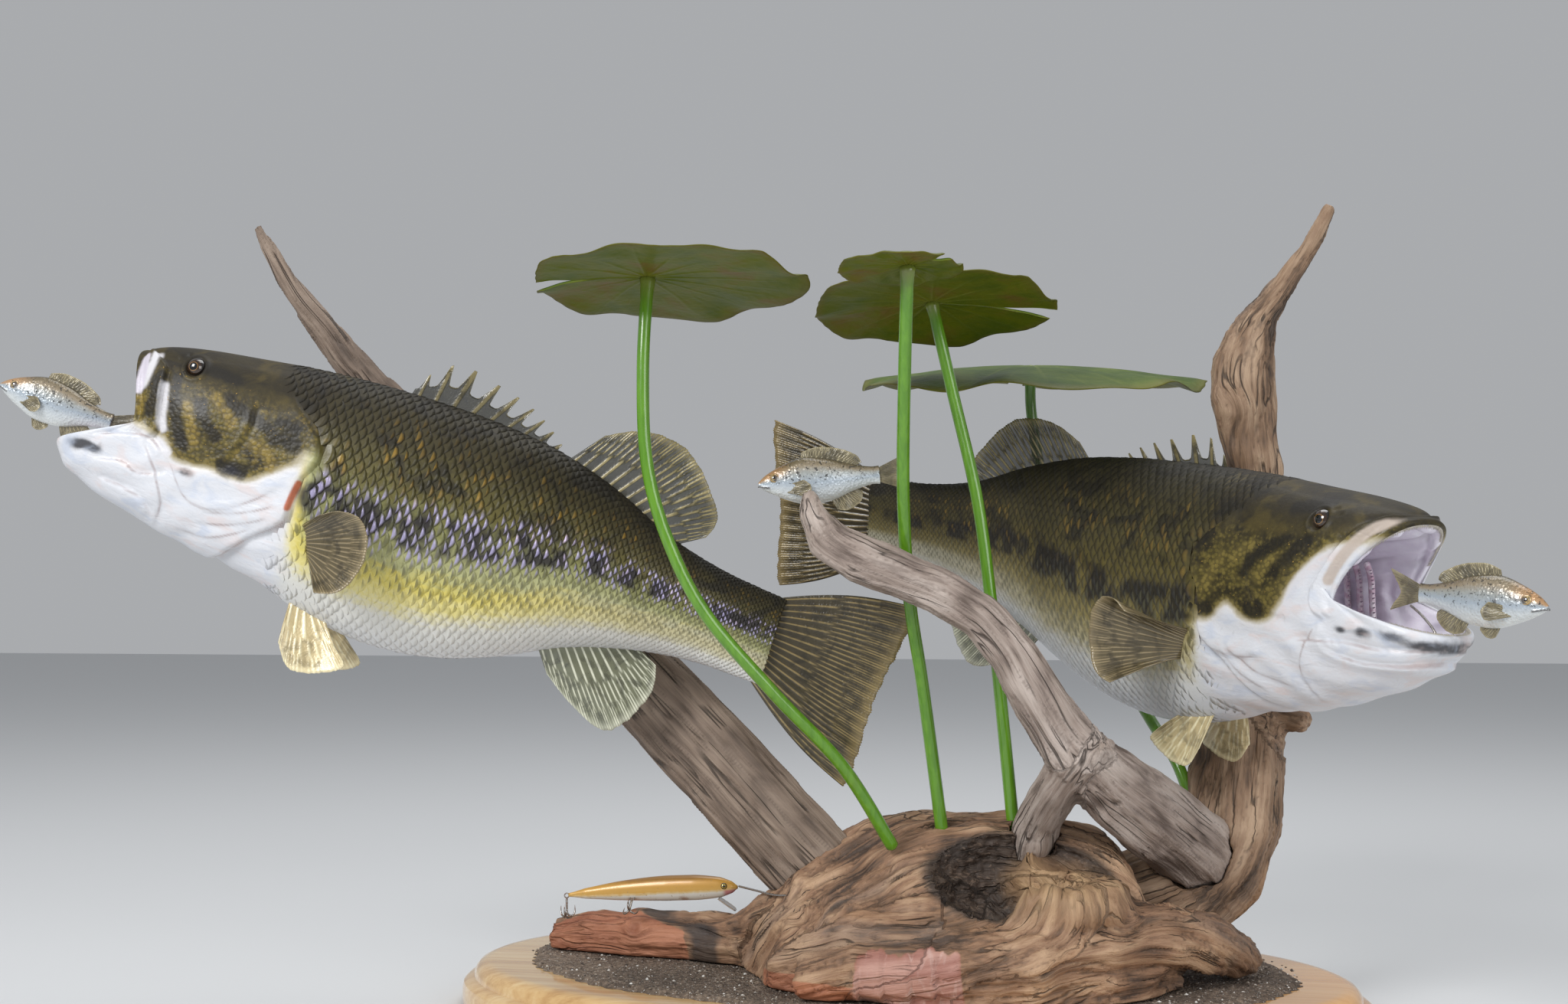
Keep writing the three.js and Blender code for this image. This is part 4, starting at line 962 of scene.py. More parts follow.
@named_finish("{}_skin_finish")
def skin_finish(finish, fish):
    """Painted, varnished skin with the bars of the cheek, the lips and the lining of the mouth, and painted
    shade in its creases and along its fold lines.
    """
    paint = BASS_PAINT[fish]
    rest = finish.vector_mark("rest")
    tone = finish.mark("tone")
    mottle = finish.noise(finish.scaled(rest, (1.0, 1.6, 2.2)), 75, 4, 0.6)
    grit = finish.noise(rest, 620, 2)
    ragged = (finish.noise(rest, 150, 3, 0.5) - 0.5) * 0.9
    on_head = rest.part("X").between(0.06, 0.075)
    glow = (finish.mark("gold_bars") + ragged).between(0.15, 0.95)
    fine = finish.noise(rest, 260, 3, 0.4).between(0.48, 0.66) * on_head * tone.between(0.35, 0.55)
    flakes = finish.cells(finish.scaled(rest, (1.0, 0.7, 1.3)), 330)
    plates = on_head * tone.between(0.4, 0.52) * tone.between(0.92, 0.72)
    crown = finish.noise(rest, 55, 3, 0.6).between(0.48, 0.66) * tone.between(0.72, 0.9) * on_head
    warm = finish.noise(finish.scaled(rest, (0.7, 1.0, 1.6)), 60, 3, 0.6)
    pale = tone.between(0.26, 0.12) * on_head
    # Painted shade: thin dark lines along the gill, jaw and fold edges of the head.
    lines = finish.mark("lines").between(0.3, 1.1) * on_head * warm.between(0.3, 0.62)
    glint = finish.noise(finish.scaled(rest, (0.8, 1.0, 1.2)), 640, 2, 0.2).between(0.7, 0.76)
    glint = glint * on_head * tone.between(0.25, 0.5) * tone.between(0.95, 0.85)
    # lining runs 0 to 1 across the lip; the lining's colour shifts a little darker with it, painted shade
    # inside the mouth.
    lining = finish.mark("lining")
    folds = finish.noise(rest, 90, 4, 0.5)
    # Painted shade in the grooves of the relief, weaker in the mouth lining and on the pale throat.
    creases = finish.mark("crease").between(0.3, 1.2) * (1 - lining * 0.6) * (1 - pale * 0.7)
    colour = finish.coats(
        fish_colour(finish, fish, rest, mottle, grit),
        (glow * 0.85, paint["cheek"]),
        (fine * tone.between(0.95, 0.75) * 0.45, paint["cheek"]),
        (flakes.between(0.42, 0.12) * plates * mottle.between(0.35, 0.6) * 0.4,
         [1.25 * c for c in paint["cheek"]]),
        (flakes.between(0.42, 0.66) * plates * 0.45, paint["dark"]),
        (crown * 0.5, (0.085, 0.062, 0.014)),
        ((finish.mark("dark_bars") + ragged).between(0.1, 0.85) * 0.88, paint["dark"]),
        ((finish.mark("smudge") + ragged * 0.8).between(0.08, 0.95) * 0.92, (0.02, 0.02, 0.026)),
        ((finish.mark("white_bars") + ragged * 0.45).between(0.15, 0.9) * 0.92, (0.68, 0.67, 0.7)),
        (warm.between(0.5, 0.72) * pale * 0.55, (0.7, 0.58, 0.55)),
        (warm.between(0.48, 0.28) * pale * 0.55, (0.5, 0.56, 0.68)),
        (lines * 0.62, (0.3, 0.21, 0.2)),
        ((finish.mark("gum_bars") + ragged * 0.3).between(0.25, 0.75) * 0.9, paint["gum"]),
        (finish.mark("red_bars").between(0.2, 0.8) * 0.9, (0.55, 0.13, 0.045)),
        (glint * 0.8, paint["gold"]),
        (lining.between(0.1, 0.5), finish.ramp(lining * 0.15 + (folds - 0.5) * 1.0 + 0.05, LINING_TONES)),
        (creases * 0.6, (0.05, 0.035, 0.022)))
    wrinkles = finish.noise(finish.scaled(rest, (0.5, 1.0, 1.5), (0, 0.5, 0)), 130, 3, 1.2)
    soft = tone.between(0.3, 0.1) * on_head
    relief = folds * 0.3 + wrinkles * soft * 0.9 - flakes * plates * 0.45 + finish.cells(rest, 520) * 0.15
    return finish.done(Base_Color=colour, Roughness=0.36 + grit * 0.1 + tone.between(0.6, 0.95) * 0.2,
                       Normal=finish.bump(relief, 0.0014, 0.4), Coat_Roughness=0.12,
                       Coat_Weight=tone.between(0.8, 0.3) * 0.16 + 0.04, Specular_IOR_Level=0.35)


# -------- fins

FIN_ROWS = 26
RAY_SAMPLES = 9


def ray_ridge(u, v, rays, spines):
    """Height of the ray relief: rays fork twice towards the margin, spines don't."""
    def ridge(count, sharp):
        return (0.5 + 0.5 * np.cos(TURN * (u * count - 0.5))) ** sharp
    if spines:
        return ridge(rays, 14)
    once = smoothstep(0.38, 0.55, v)
    twice = smoothstep(0.68, 0.82, v)
    return lerp(lerp(ridge(rays, 6), ridge(2 * rays, 4), once), ridge(4 * rays, 2.5), twice)


def fin_shell(shell, form, base, tips, rays, scale=1.0, root_out=0.0, tip_out=0.0, swing=0.0, side=0,
              shift=(0.0, 0.0), spines=False, sheet=None):
    """Adds a fin: a thin web over branching rays between a base line and a curve of tips."""
    samples = rays * RAY_SAMPLES + 1
    u = np.linspace(0, 1, samples)[:, None]
    v = np.linspace(0, 1, FIN_ROWS)[None]
    u, v = np.broadcast_arrays(u, v)
    ridge = ray_ridge(u, v, rays, spines)
    if spines:
        notch = 0.46 * (1 - ridge ** 0.22)
    else:
        notch = 0.01 * (1 - ridge) + 0.008 * (1 + np.sin(61 * u) * np.sin(23 * u + 1))
    reach = v * (1 - notch * smoothstep(0.4, 1, v))
    if sheet is None:
        pivot = (np.array(base[0]) + np.array(base[1])) / 2
        turn = math.radians(swing)
        spin = np.array(((math.cos(turn), math.sin(turn)), (-math.sin(turn), math.cos(turn))))
        ends = (np.array(base, float) - pivot) @ spin + pivot
        curve = (np.array(tips, float) - pivot) @ spin + pivot
        tip = smooth_rows(curve, u * (len(tips) - 1))
        foot = lerp(ends[0], ends[1], u[..., None])
        place = foot + (tip - foot) * reach[..., None] + np.array(shift)
        out = side * lerp(root_out, tip_out, np.maximum(reach, 0) ** 0.8) if side else np.zeros_like(u)
        ripple = 0.5 * np.sin(TURN * u * 2.5 + 4 * v) * v
        points = np.stack([place[..., 0], out + ripple, place[..., 1]], -1)
    else:
        points = sheet(u, reach)
    normal = grid_normals(points, wrap=False)
    fleshy = 1.9 * np.exp(-v / 0.07)
    thick = scale * (0.34 + fleshy + lerp(0.85, 0.3, v) * ridge) * lerp(1, 0.6, v)
    thick[[0, -1]] = 0
    front = points + normal * thick[..., None] / 2
    back = points - normal * thick[..., None] / 2
    loop = np.concatenate([front, back[:, ::-1]], 1)
    posed = form.posed(loop)
    shell.add(posed, wrapped_quads(posed), rest=loop * MM, ray=folded(ridge), span=folded(v))


def tail_sheet(u, v):
    angle = np.radians(180 - TAIL["axis"] - TAIL["spread"] * (1 - 2 * u))
    reach = v * (TAIL["length"] - TAIL["fork"] * np.sin(math.pi * u) ** 1.5)
    swell = 5 * np.sin(math.pi * v) * (1 - 2 * u)
    wave = 1.2 * np.sin(TURN * u * 1.5 + 2 * v) * v ** 1.5
    root_x, root_z = (lerp(top, bottom, u) for top, bottom in zip(TAIL["top_root"], TAIL["bottom_root"]))
    return np.stack([root_x + reach * np.cos(angle), wave, root_z + reach * np.sin(angle) + swell], -1)


FIN_PAINT = {                                            # web, ray, alpha of the web
    "tail_fin": ((0.05, 0.038, 0.016), (0.26, 0.19, 0.075), 0.95),
    "spiny_dorsal_fin": ((0.03, 0.027, 0.012), (0.22, 0.18, 0.08), 0.62),
    "soft_dorsal_fin": ((0.035, 0.032, 0.014), (0.34, 0.28, 0.13), 0.6),
    "anal_fin": ((0.2, 0.21, 0.13), (0.66, 0.66, 0.52), 0.66),
    "pectoral_fin": ((0.115, 0.09, 0.045), (0.3, 0.235, 0.13), 0.9),
    "pelvic_fin": ((0.62, 0.5, 0.27), (0.84, 0.76, 0.5), 0.94),
    "bait": ((0.2, 0.17, 0.1), (0.4, 0.34, 0.2), 0.78),
}


@named_finish("{}_finish")
def fin_finish(finish, kind):
    web, bone, alpha = FIN_PAINT[kind]
    rest = finish.vector_mark("rest")
    ray = finish.mark("ray")
    span = finish.mark("span")
    patches = finish.noise(rest, 120, 3, 0.6)
    colour = finish.coats(
        web, (ray.between(0.15, 0.8), bone),
        (patches.between(0.45, 0.68) * span.between(0.05, 0.3) * 0.7, [0.35 * c for c in web]),
        (span.between(0.86, 1.0) * 0.5, [1.3 * c for c in bone]))
    joints = finish.noise(rest, 700, 1).between(0.35, 0.65)
    normal = finish.bump(joints * 0.3 + ray * 0.7, 0.0005, 0.5)
    see = (ray.between(0.1, 0.5) + span.between(0.22, 0.02)).math("MINIMUM", 1.0)
    return finish.done(Base_Color=colour, Roughness=0.3, Metallic=0.08, Coat_Weight=0.5, Coat_Roughness=0.1,
                       Normal=normal, Alpha=see * (1 - alpha) + alpha)


def bass_fins(fish):
    """The tail, back, anal and paired fins, each one piece with its own rays."""
    form = BassForm(FISH[fish])
    pose = FISH[fish]

    def fin_piece(kind, part, *outline, **shape):
        shell = Shell()
        fin_shell(shell, form, *outline, **shape)
        weld(shell.piece(f"{fish}_{part}", fin_finish(kind), own_nodes(fish, part), "fin"))

    fin_piece("tail_fin", "tail_fin", None, None, TAIL["rays"], sheet=tail_sheet, scale=1.3)
    for kind, fin in FINS.items():
        outline = fin["base"], fin["tips"], fin["rays"]
        if not fin.get("paired"):
            shift = pose["dorsal_shift"] if fin.get("dorsal") else (0.0, 0.0)
            fin_piece(kind, kind, *outline, shift=shift, spines=fin.get("spines", False))
            continue
        for label, side, breast in (("left", 1, "far"), ("right", -1, "near")):
            facts = {"root_out": fin["root_out"], "tip_out": fin["tip_out"]}
            if kind == "pectoral_fin":
                facts.update(pose["breast"][breast])
            fin_piece(kind, f"{kind}_{label}", *outline, side=side, **facts)


# -------- eyes, tongue and teeth

TONGUE_ROWS, TONGUE_COLUMNS = 30, 48
TEETH_ROWS = ((0.35, 100), (0.5, 90), (0.65, 80))        # place inside the lip, and teeth in the row


@named_finish("{}_eye_finish")
def eye_finish(finish, _kind, iris, rim, pupil=0.45):
    """A glass eye: black pupil, flecked iris and dark rim by angle from the axis."""
    tilt = finish.mark("tilt")
    rest = finish.place()
    flecks = finish.noise(rest, 1400, 3, 0.4)
    colour = finish.coats(
        iris, (flecks.between(0.35, 0.7), [0.3 * c for c in iris]),
        ((tilt + (flecks - 0.5) * 0.06).between(0.86, 1.0), rim),
        (tilt.between(pupil + 0.14, pupil + 0.06) * tilt.between(pupil, pupil + 0.05), (0.26, 0.13, 0.03)),
        (tilt.between(pupil + 0.03, pupil - 0.01), (0.003, 0.003, 0.004)))
    return finish.done(Base_Color=colour, Roughness=0.12, Metallic=0.2, Coat_Weight=1.0, Coat_Roughness=0.015,
                       IOR=1.5)


def eyeball(name, centre, axis, radius, finish, nodes=(), flat=0.86):
    """A domed glass eye set at a centre, looking along its axis."""
    deselect()
    bpy.ops.mesh.primitive_uv_sphere_add(segments=48, ring_count=28, radius=radius * MM)
    eye = bpy.context.object
    eye.name = eye.data.name = name
    edit_all()
    bpy.ops.transform.resize(value=(1, 1, flat))
    bpy.ops.object.mode_set(mode="OBJECT")
    bpy.ops.object.shade_smooth()
    points, _ = mesh_points(eye.data)
    set_mark(eye.data, "tilt", np.arccos(np.clip(unit(points)[:, 2], -1, 1)))
    turn = Vector(axis).to_track_quat("Z", "Y").to_matrix().to_4x4()
    eye.data.transform(Matrix.Translation(Vector(centre) * MM) @ turn)
    finish_piece(eye, finish, nodes)


def bass_eyes(fish, radius):
    form = BassForm(FISH[fish])
    finish = eye_finish("bass", (0.05, 0.024, 0.01), (0.01, 0.007, 0.005))
    for label, side in SIDES:
        centre = form.posed(EYE_CENTRE * np.array((1, side, 1)))
        axis = form.turn @ np.array((0.16, side, 0.12))
        eyeball(f"{fish}_eye_{label}", centre, axis, radius, finish, own_nodes(fish, f"eye_{label}"))


@named_finish("tongue_finish")
def tongue_finish(finish):
    rest = finish.place()
    blush = finish.noise(rest, 120, 3, 0.4)
    colour = finish.mix(blush.between(0.3, 0.7), (0.72, 0.58, 0.62), (0.52, 0.34, 0.42))
    normal = finish.bump(finish.cells(rest, 900), 0.0006, 0.5)
    return finish.done(Base_Color=colour, Roughness=0.25, Coat_Weight=0.6, Normal=normal)


def bass_tongue(fish):
    """A rounded tongue with a groove, on the floor of the mouth."""
    form = BassForm(FISH[fish])
    u = np.linspace(0, math.pi, TONGUE_ROWS)[:, None]
    v = round_angles(TONGUE_COLUMNS)[None]
    cross = np.sin(u) ** 0.8
    drop = form.pose["lower_lip"][1] - LIP_STATION[3]
    ahead = form.pose["lip_side"]
    x = TONGUE["x"] + ahead + TONGUE["length"] * -np.cos(u) + 0 * v
    y = TONGUE["width"] * cross * np.sin(v)
    z = TONGUE["z"] + drop + TONGUE["height"] * cross * np.cos(v)
    z = z - 1.2 * bell(y, 0, 2.2) * np.cos(v).clip(0)
    points = np.stack([x, y, z], -1)
    posed = form.posed(points)
    weld(add_piece(f"{fish}_tongue", posed, wrapped_quads(posed), tongue_finish(), own_nodes(fish, "tongue"),
                   "tongue"))


@named_finish("gill_arch_finish")
def gill_arch_finish(finish):
    blush = finish.noise(finish.place(), 220, 3, 0.4)
    colour = finish.mix(blush.between(0.35, 0.65), (0.82, 0.76, 0.8), (0.62, 0.42, 0.52))
    colour = finish.mix(finish.mark("rake") * 0.6, colour, (0.34, 0.26, 0.34))
    return finish.done(Base_Color=colour, Roughness=0.25, Coat_Weight=0.4)


def bass_gill_arches(fish):
    """Gill arches with their rakers at the back of the mouth, three on each side."""
    form = BassForm(FISH[fish])
    shell = Shell()
    for side in (1, -1):
        for step in range(3):
            x = 158 - 8.5 * step
            arch = np.array(((x + 9, side * 7, -33), (x + 1, side * 15, -27),
                             (x - 4, side * (18 - step), -12), (x - 4, side * (16 - step), 3),
                             (x - 2, side * 10, 12 - 2 * step)), float)
            points, quads, _ = tube(form.posed(arch), 1.9, 14, steps=40)
            shell.add(points, quads, rake=0.0)
            for foot in smooth_line(arch, 24)[2:-3]:
                tip = foot + (4.6, -side * 2.6, 0.6)
                rake = np.array((foot, lerp(foot, tip, 0.6) + (0, 0, -0.3), tip))
                points, quads, _ = tube(form.posed(rake), 0.55, 6, steps=5, taper=((0, 1), (1.2, 0.3)))
                shell.add(points, quads, rake=1.0)
    weld(shell.piece(f"{fish}_gill_arches", gill_arch_finish(), (), "tongue"))


@named_finish("{}_teeth_finish")
def teeth_finish(finish, _fish):
    colour = finish.mix(finish.noise(finish.place(), 300, 2), (0.78, 0.74, 0.64), (0.62, 0.56, 0.44))
    return finish.done(Base_Color=colour, Roughness=0.3)


def bass_teeth(fish):
    """Bands of fine teeth just inside both lips, joined into one piece."""
    form = BassForm(FISH[fish])
    random = np.random.default_rng(3)
    shell = Shell()
    ring = round_angles(5)[:, None]
    for inside, count in TEETH_ROWS:
        place = LIP_PLACE + inside
        for span in ((-1.15, 1.15), (math.pi - 0.95, math.pi + 0.95)):
            angle = np.linspace(*span, count) + random.uniform(-0.008, 0.008, count)
            foot = form.straight(np.full(count, place), angle, -0.2)
            side = unit(np.gradient(foot, axis=0))
            middle = form.straight(np.full(count, place + 0.8), angle)
            inward = unit(np.stack([-0.55 * np.ones(count), -0.5 * foot[:, 1] / 30, -foot[:, 2] / 36], 1))
            along = unit(middle - foot)
            length = random.uniform(1.5, 2.5, (count, 1))
            circle = np.cos(ring) * side[:, None] + np.sin(ring) * along[:, None]
            base = foot[:, None] + circle * 0.42
            tip = (foot + inward * length)[:, None] + 0 * circle
            shell.add(form.posed(np.stack([base, tip], 1)), repeated(grid_quads(2, 5, wrap=True), count, 10))
    weld(shell.piece(f"{fish}_teeth", teeth_finish(fish), (), "tongue"))


# -------- bait fish

BAIT_EYE, BAIT_EYE_RADIUS = (-9.5, 4.35, 2.6), 2.7
BAIT_GILL_EDGE = ((-22, 7), (-24.5, 1), (-23, -5), (-18, -10))
BAIT_CHEEK_EDGE = ((-14, 3), (-15, -1), (-13, -5), (-10, -6))
BAIT_ROWS, BAIT_COLUMNS = 120, 56


class BaitForm:
    """The body of a bait fish, snout at its origin and tail to -x."""

    def __init__(self, facts):
        self.turn = turned(facts["heading"], facts["pitch"])
        self.origin = np.array(facts["snout"], float) + STAND

    def straight(self, place, angle):
        x, top, bottom, width = np.moveaxis(smooth_rows(BAIT_STATIONS, place), -1, 0)
        middle, half = (top + bottom) / 2, (top - bottom) / 2
        return np.stack(np.broadcast_arrays(x, width * np.sin(angle), middle + half * np.cos(angle)), -1)

    def posed(self, points):
        return np.asarray(points) @ self.turn.T + self.origin


@named_finish("bait_skin_finish")
def bait_skin_finish(finish):
    rest = finish.vector_mark("rest")
    tone = finish.mark("tone")
    mottle = finish.noise(finish.scaled(rest, (1, 1, 2)), 260, 3, 0.5)
    colour = finish.ramp(tone + (mottle - 0.5) * 0.14, (
        (0.0, (0.72, 0.74, 0.72)), (0.25, (0.58, 0.62, 0.64)), (0.45, (0.4, 0.46, 0.52)),
        (0.64, (0.37, 0.39, 0.38)), (0.82, (0.32, 0.26, 0.18)),
        (0.94, (0.17, 0.135, 0.08)), (1.0, (0.09, 0.075, 0.045))))
    crown = rest.part("X").between(-0.022, -0.006) * tone.between(0.52, 0.78)
    flecks = finish.noise(rest, 520, 2, 0.6).between(0.58, 0.66) * tone.between(0.25, 0.5)
    # The last coat is painted shade in the grooves of the gill edge, cheek, mouth and eye.
    colour = finish.coats(colour, (crown * 0.7, (0.52, 0.28, 0.12)), (flecks * 0.85, (0.03, 0.03, 0.03)),
                          (finish.mark("crease").between(0.1, 0.9) * 0.8, (0.05, 0.04, 0.035)))
    normal = finish.bump(finish.cells(finish.scaled(rest, (1, 0.6, 1)), 640), 0.0006, 0.5)
    return finish.done(Base_Color=colour, Metallic=0.2, Roughness=0.28, Coat_Weight=0.5, Coat_Roughness=0.08,
                       Normal=normal)


def bait_fish(label):
    """One small bait fish: body with mouth, gill edge, cheek and eye lids, fins and eyes."""
    form = BaitForm(BAIT_FISH[label])
    place, angle = np.broadcast_arrays(np.linspace(0, len(BAIT_STATIONS) - 1, BAIT_ROWS)[:, None],
                                       round_angles(BAIT_COLUMNS)[None])
    plain = form.straight(place, angle)
    x, _, z = np.moveaxis(plain, -1, 0)
    gill = plate_step(x, z, BAIT_GILL_EDGE, 0.35, 3, 0.7, 0.8)
    cheek = plate_step(x, z, BAIT_CHEEK_EDGE, 0.15, 2, 0.35, 0.6)
    mouth = -1.0 * bell(z - (-1.0 + 0.28 * x), 0, 0.45) * smoothstep(-7.5, -6, x)
    eye = np.hypot(x - BAIT_EYE[0], z - BAIT_EYE[2])
    lid = 0.35 * bell(eye, 2.9, 0.5) - 0.9 * smoothstep(2.6, 1.6, eye)
    relief = gill + cheek + mouth + lid
    points = with_poles(plain + grid_normals(plain, wrap=True) * (relief - 0.25)[..., None])
    posed = form.posed(points)
    # The crease mark holds the relief's grooves, where the finish paints shade.
    weld(add_piece(f"bait_{label}_skin", posed, wrapped_quads(posed), bait_skin_finish(),
                   (f"bait_fish_{label}",), "bait_skin", rest=points * MM,
                   tone=held_ends((np.cos(angle) + 1) / 2), crease=held_ends(np.clip(-relief / 0.8, 0, 1))))
    shell = Shell()
    for fin in BAIT_FINS:
        for side in ((-1, 1) if fin.get("paired") else (0,)):
            fin_shell(shell, form, fin["base"], fin["tips"], fin["rays"], scale=0.5, side=side,
                      root_out=fin.get("root_out", 0), tip_out=fin.get("tip_out", 0))
    weld(shell.piece(f"bait_{label}_fins", fin_finish("bait"), (), "fin"))
    finish = eye_finish("bait", (0.74, 0.58, 0.27), (0.46, 0.31, 0.12), pupil=0.6)
    for side_name, side in SIDES:
        centre = form.posed(BAIT_EYE * np.array((1, side, 1)))
        axis = form.turn @ np.array((0.22, side, 0.25))
        eyeball(f"bait_{label}_eye_{side_name}", centre, axis, BAIT_EYE_RADIUS, finish, flat=0.6)


# -------- driftwood

WOOD = {
    "driftwood_plank": {
        "voxel": 1.6, "seed": 1, "splits": 1.2, "lumps": 0.5,
        "paths": (
            ((-446, -33, 520), (-420, -29, 474), (-396, -26, 446), (-376, -24, 419), (-322, -17, 361),
             (-259, -12, 294), (-166, -5, 197), (-77, -8, 106), (-38, -10, 66)),)},
    "driftwood_fork": {
        "voxel": 1.5, "seed": 2, "splits": 0.8, "lumps": 1.3,
        "paths": (
            ((-54, -93, 332), (-50, -97, 317), (-39, -99, 301), (-18, -97, 289), (4, -92, 281),
             (33, -86, 268), (57, -82, 249), (75, -78, 219), (92, -70, 189), (114, -47, 162),
             (143, -8, 134), (166, 28, 112), (178, 52, 98)),
            ((104, -64, 178), (94, -54, 164), (83, -36, 148), (74, -16, 131), (68, -2, 112)),)},
    "driftwood_trunk": {
        "voxel": 2.0, "seed": 3, "splits": 1.4, "lumps": 2.4,
        "knots": ((196, 62, 392, 8), (188, 64, 300, 6)),
        "paths": (
            ((122, 36, 70), (168, 52, 86), (192, 60, 118), (198, 68, 160), (202, 80, 209), (205, 86, 279),
             (210, 88, 335), (207, 87, 376), (203, 86, 404), (206, 87, 430), (215, 86, 455), (229, 84, 473),
             (248, 83, 501), (261, 82, 526)),
            ((215, 74, 196), (240, 62, 189)),)},
    "driftwood_root": {
        "voxel": 1.8, "seed": 4, "splits": 1.9, "lumps": 3.2,
        "knots": ((-28, -62, 108, 10), (20, -66, 112, 7), (-66, -64, 76, 8), (128, -64, 84, 7),
                  (-190, 8, 52, 5)),
        "paths": (
            ((-254, 33, 43), (-212, 27, 45), (-162, 20, 45), (-115, 10, 45), (-72, -8, 62), (0, -15, 80)),
            ((-60, -84, 42), (-8, -93, 55), (60, -82, 56), (112, -56, 66), (158, -20, 66), (186, 12, 54),
             (199, 40, 42)),
            ((-98, -22, 36), (-72, -48, 70), (-46, -42, 100), (6, -22, 124), (66, -10, 130),
             (124, -10, 112), (152, -18, 78)),
            ((72, -46, 116), (94, -56, 96), (84, -80, 76), (30, -92, 58), (-20, -90, 44)),
            ((-70, 30, 60), (0, 45, 100), (70, 45, 105), (130, 35, 70)),)},
}
HOLLOW = {"centre": (71, -52, 104), "size": (60, 36, 36)}


def grain_of(points, paths):
    """Place along and across the nearest branch line: (across, across, along) in millimetres."""
    best = np.full(len(points), np.inf)
    grain = np.zeros((len(points), 3))
    start = 0.0
    for path in paths:
        line = smooth_line(np.array(path, float) + STAND, 90)
        ahead = unit(np.gradient(line, axis=0))
        run = start + np.concatenate([[0], np.cumsum(np.linalg.norm(np.diff(line, axis=0), axis=1))])
        side = unit(np.cross(ahead, (0.2, 0.95, 0.1)))
        front = np.cross(ahead, side)
        for chunk in np.array_split(np.arange(len(points)), max(1, len(points) // 8000)):
            gap = points[chunk, None] - line[None]
            distance = np.linalg.norm(gap, axis=2)
            nearest = distance.argmin(1)
            rows = np.arange(len(chunk))
            near = distance[rows, nearest]
            closer = near < best[chunk]
            away = gap[rows, nearest]
            value = np.stack([(away * side[nearest]).sum(1), (away * front[nearest]).sum(1),
                              run[nearest] + (away * ahead[nearest]).sum(1)], 1)
            best[chunk] = np.where(closer, near, best[chunk])
            grain[chunk] = np.where(closer[:, None], value, grain[chunk])
        start = run[-1] + 60
    return grain


def wood_piece(node, split_depth):
    """A weathered branch: the solid rounded off, then split and worn along its grain."""
    facts = WOOD[node]
    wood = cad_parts[node].copy()
    wood.data = wood.data.copy()
    wood.name = wood.data.name = f"{node}_wood"
    for key in [key for key in wood.keys() if key.startswith("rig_")]:
        del wood[key]
    wood.parent = None
    wood.data.materials.clear()
    bpy.context.scene.collection.objects.link(wood)
    deselect()
    wood.select_set(True)
    bpy.context.view_layer.objects.active = wood
    edit_all()
    bpy.ops.mesh.remove_doubles(threshold=1e-5)
    bpy.ops.object.mode_set(mode="OBJECT")
    wood.data.remesh_voxel_size = facts["voxel"] * MM
    bpy.ops.object.voxel_remesh()
    rounding = wood.modifiers.new("rounding", "SMOOTH")
    rounding.factor = 0.5
    rounding.iterations = 14
    bpy.ops.object.modifier_apply(modifier="rounding")
    points, normal = mesh_points(wood.data)
    place = points / MM - STAND
    grain = grain_of(points / MM, facts["paths"])
    seed = facts["seed"]
    split = rough(grain * (1 / 7.5, 1 / 7.5, 1 / 95), 1.0, 3, seed)
    fine = rough(grain * (1 / 2.6, 1 / 2.6, 1 / 40), 1.0, 2, seed + 3)
    lumps = rough(points / MM, 1 / 34, 2, seed + 5)
    knots = 0 * lumps
    for *centre, radius in facts.get("knots", ()):
        away = np.linalg.norm(place - centre, axis=1)
        grain[:, 0] += 1.5 * radius * bell(away, 0, 1.8 * radius)
        knots += 0.22 * radius * bell(away, radius, 0.4 * radius) - 0.3 * radius * bell(away, 0, 0.6 * radius)
    ridges = rough(grain * (1 / 17, 1 / 17, 1 / 130), 1.0, 2, seed + 7)
    cleft = np.clip(1 - np.abs(split) * 3.4, 0, 1) ** 1.6
    height = knots + facts["lumps"] * (lumps + 0.9 * ridges) + 0.45 * fine
    height = height - split_depth * facts["splits"] * cleft + 0.5 * split
    if node == "driftwood_root":
        height += root_relief(place, height)
    height *= smoothstep(SAND["top"], SAND["top"] + 3, points[:, 2] / MM)
    wood.data.vertices.foreach_set("co", (points + normal * height[:, None] * MM).astype(np.float32).ravel())
    wood.data.update()
    marks = {"cleft": cleft, "lumps": lumps, "grain": grain * MM}
    marks.update(root_marks(place) if node == "driftwood_root" else
                 {key: 0 * lumps for key in ("hollow", "heart", "burn", "cut", "chisel")})
    for key, values in marks.items():
        set_mark(wood.data, key, values)
    wood.data.shade_smooth()
    finish_piece(wood, wood_finish(node), (node,))


def island(x, z):
    """1 on the raised heart wood inside the root's hollow, falling to 0 round it."""
    return smoothstep(1.25, 0.7, np.hypot((x - 97) / 40, (z - 84 - 0.25 * (97 - x)) / 22))


def facets(x, y, z):
    """1 on the freshly cut faces at the front of the root."""
    sway = 2.2 * np.sin(0.21 * x + 1.2) + 0.9 * np.sin(0.9 * x)
    return (smoothstep(-27, -23, x - 0.12 * (z - 50)) * smoothstep(42, 38, x + 0.05 * z) *
            smoothstep(69, 63, z - 0.1 * x + sway) * smoothstep(-58, -64, y))


def root_hollow(place):
    """How far out points lie in the root's hollow, 1 at its wall, and how much heart wood stands there."""
    inside = np.linalg.norm((place - HOLLOW["centre"]) / HOLLOW["size"], axis=1)
    return inside, island(place[:, 0], place[:, 2]) * smoothstep(1.25, 0.95, inside)


def root_relief(place, height):
    """Chisel marks on the cut faces and the heart wood standing up in the hollow."""
    x, y, z = place.T
    inside, heart = root_hollow(place)
    heart = heart * smoothstep(10, -6, y) * 21
    chips = rough(place, 1 / 3.2, 2, 31) * 1.8 * smoothstep(1.1, 0.95, inside)
    chisel = (((x + 24) % 15.5) / 15.5) ** 0.8 * 3.0 - 2.4
    return heart + chips + (chisel - height) * facets(x, y, z)


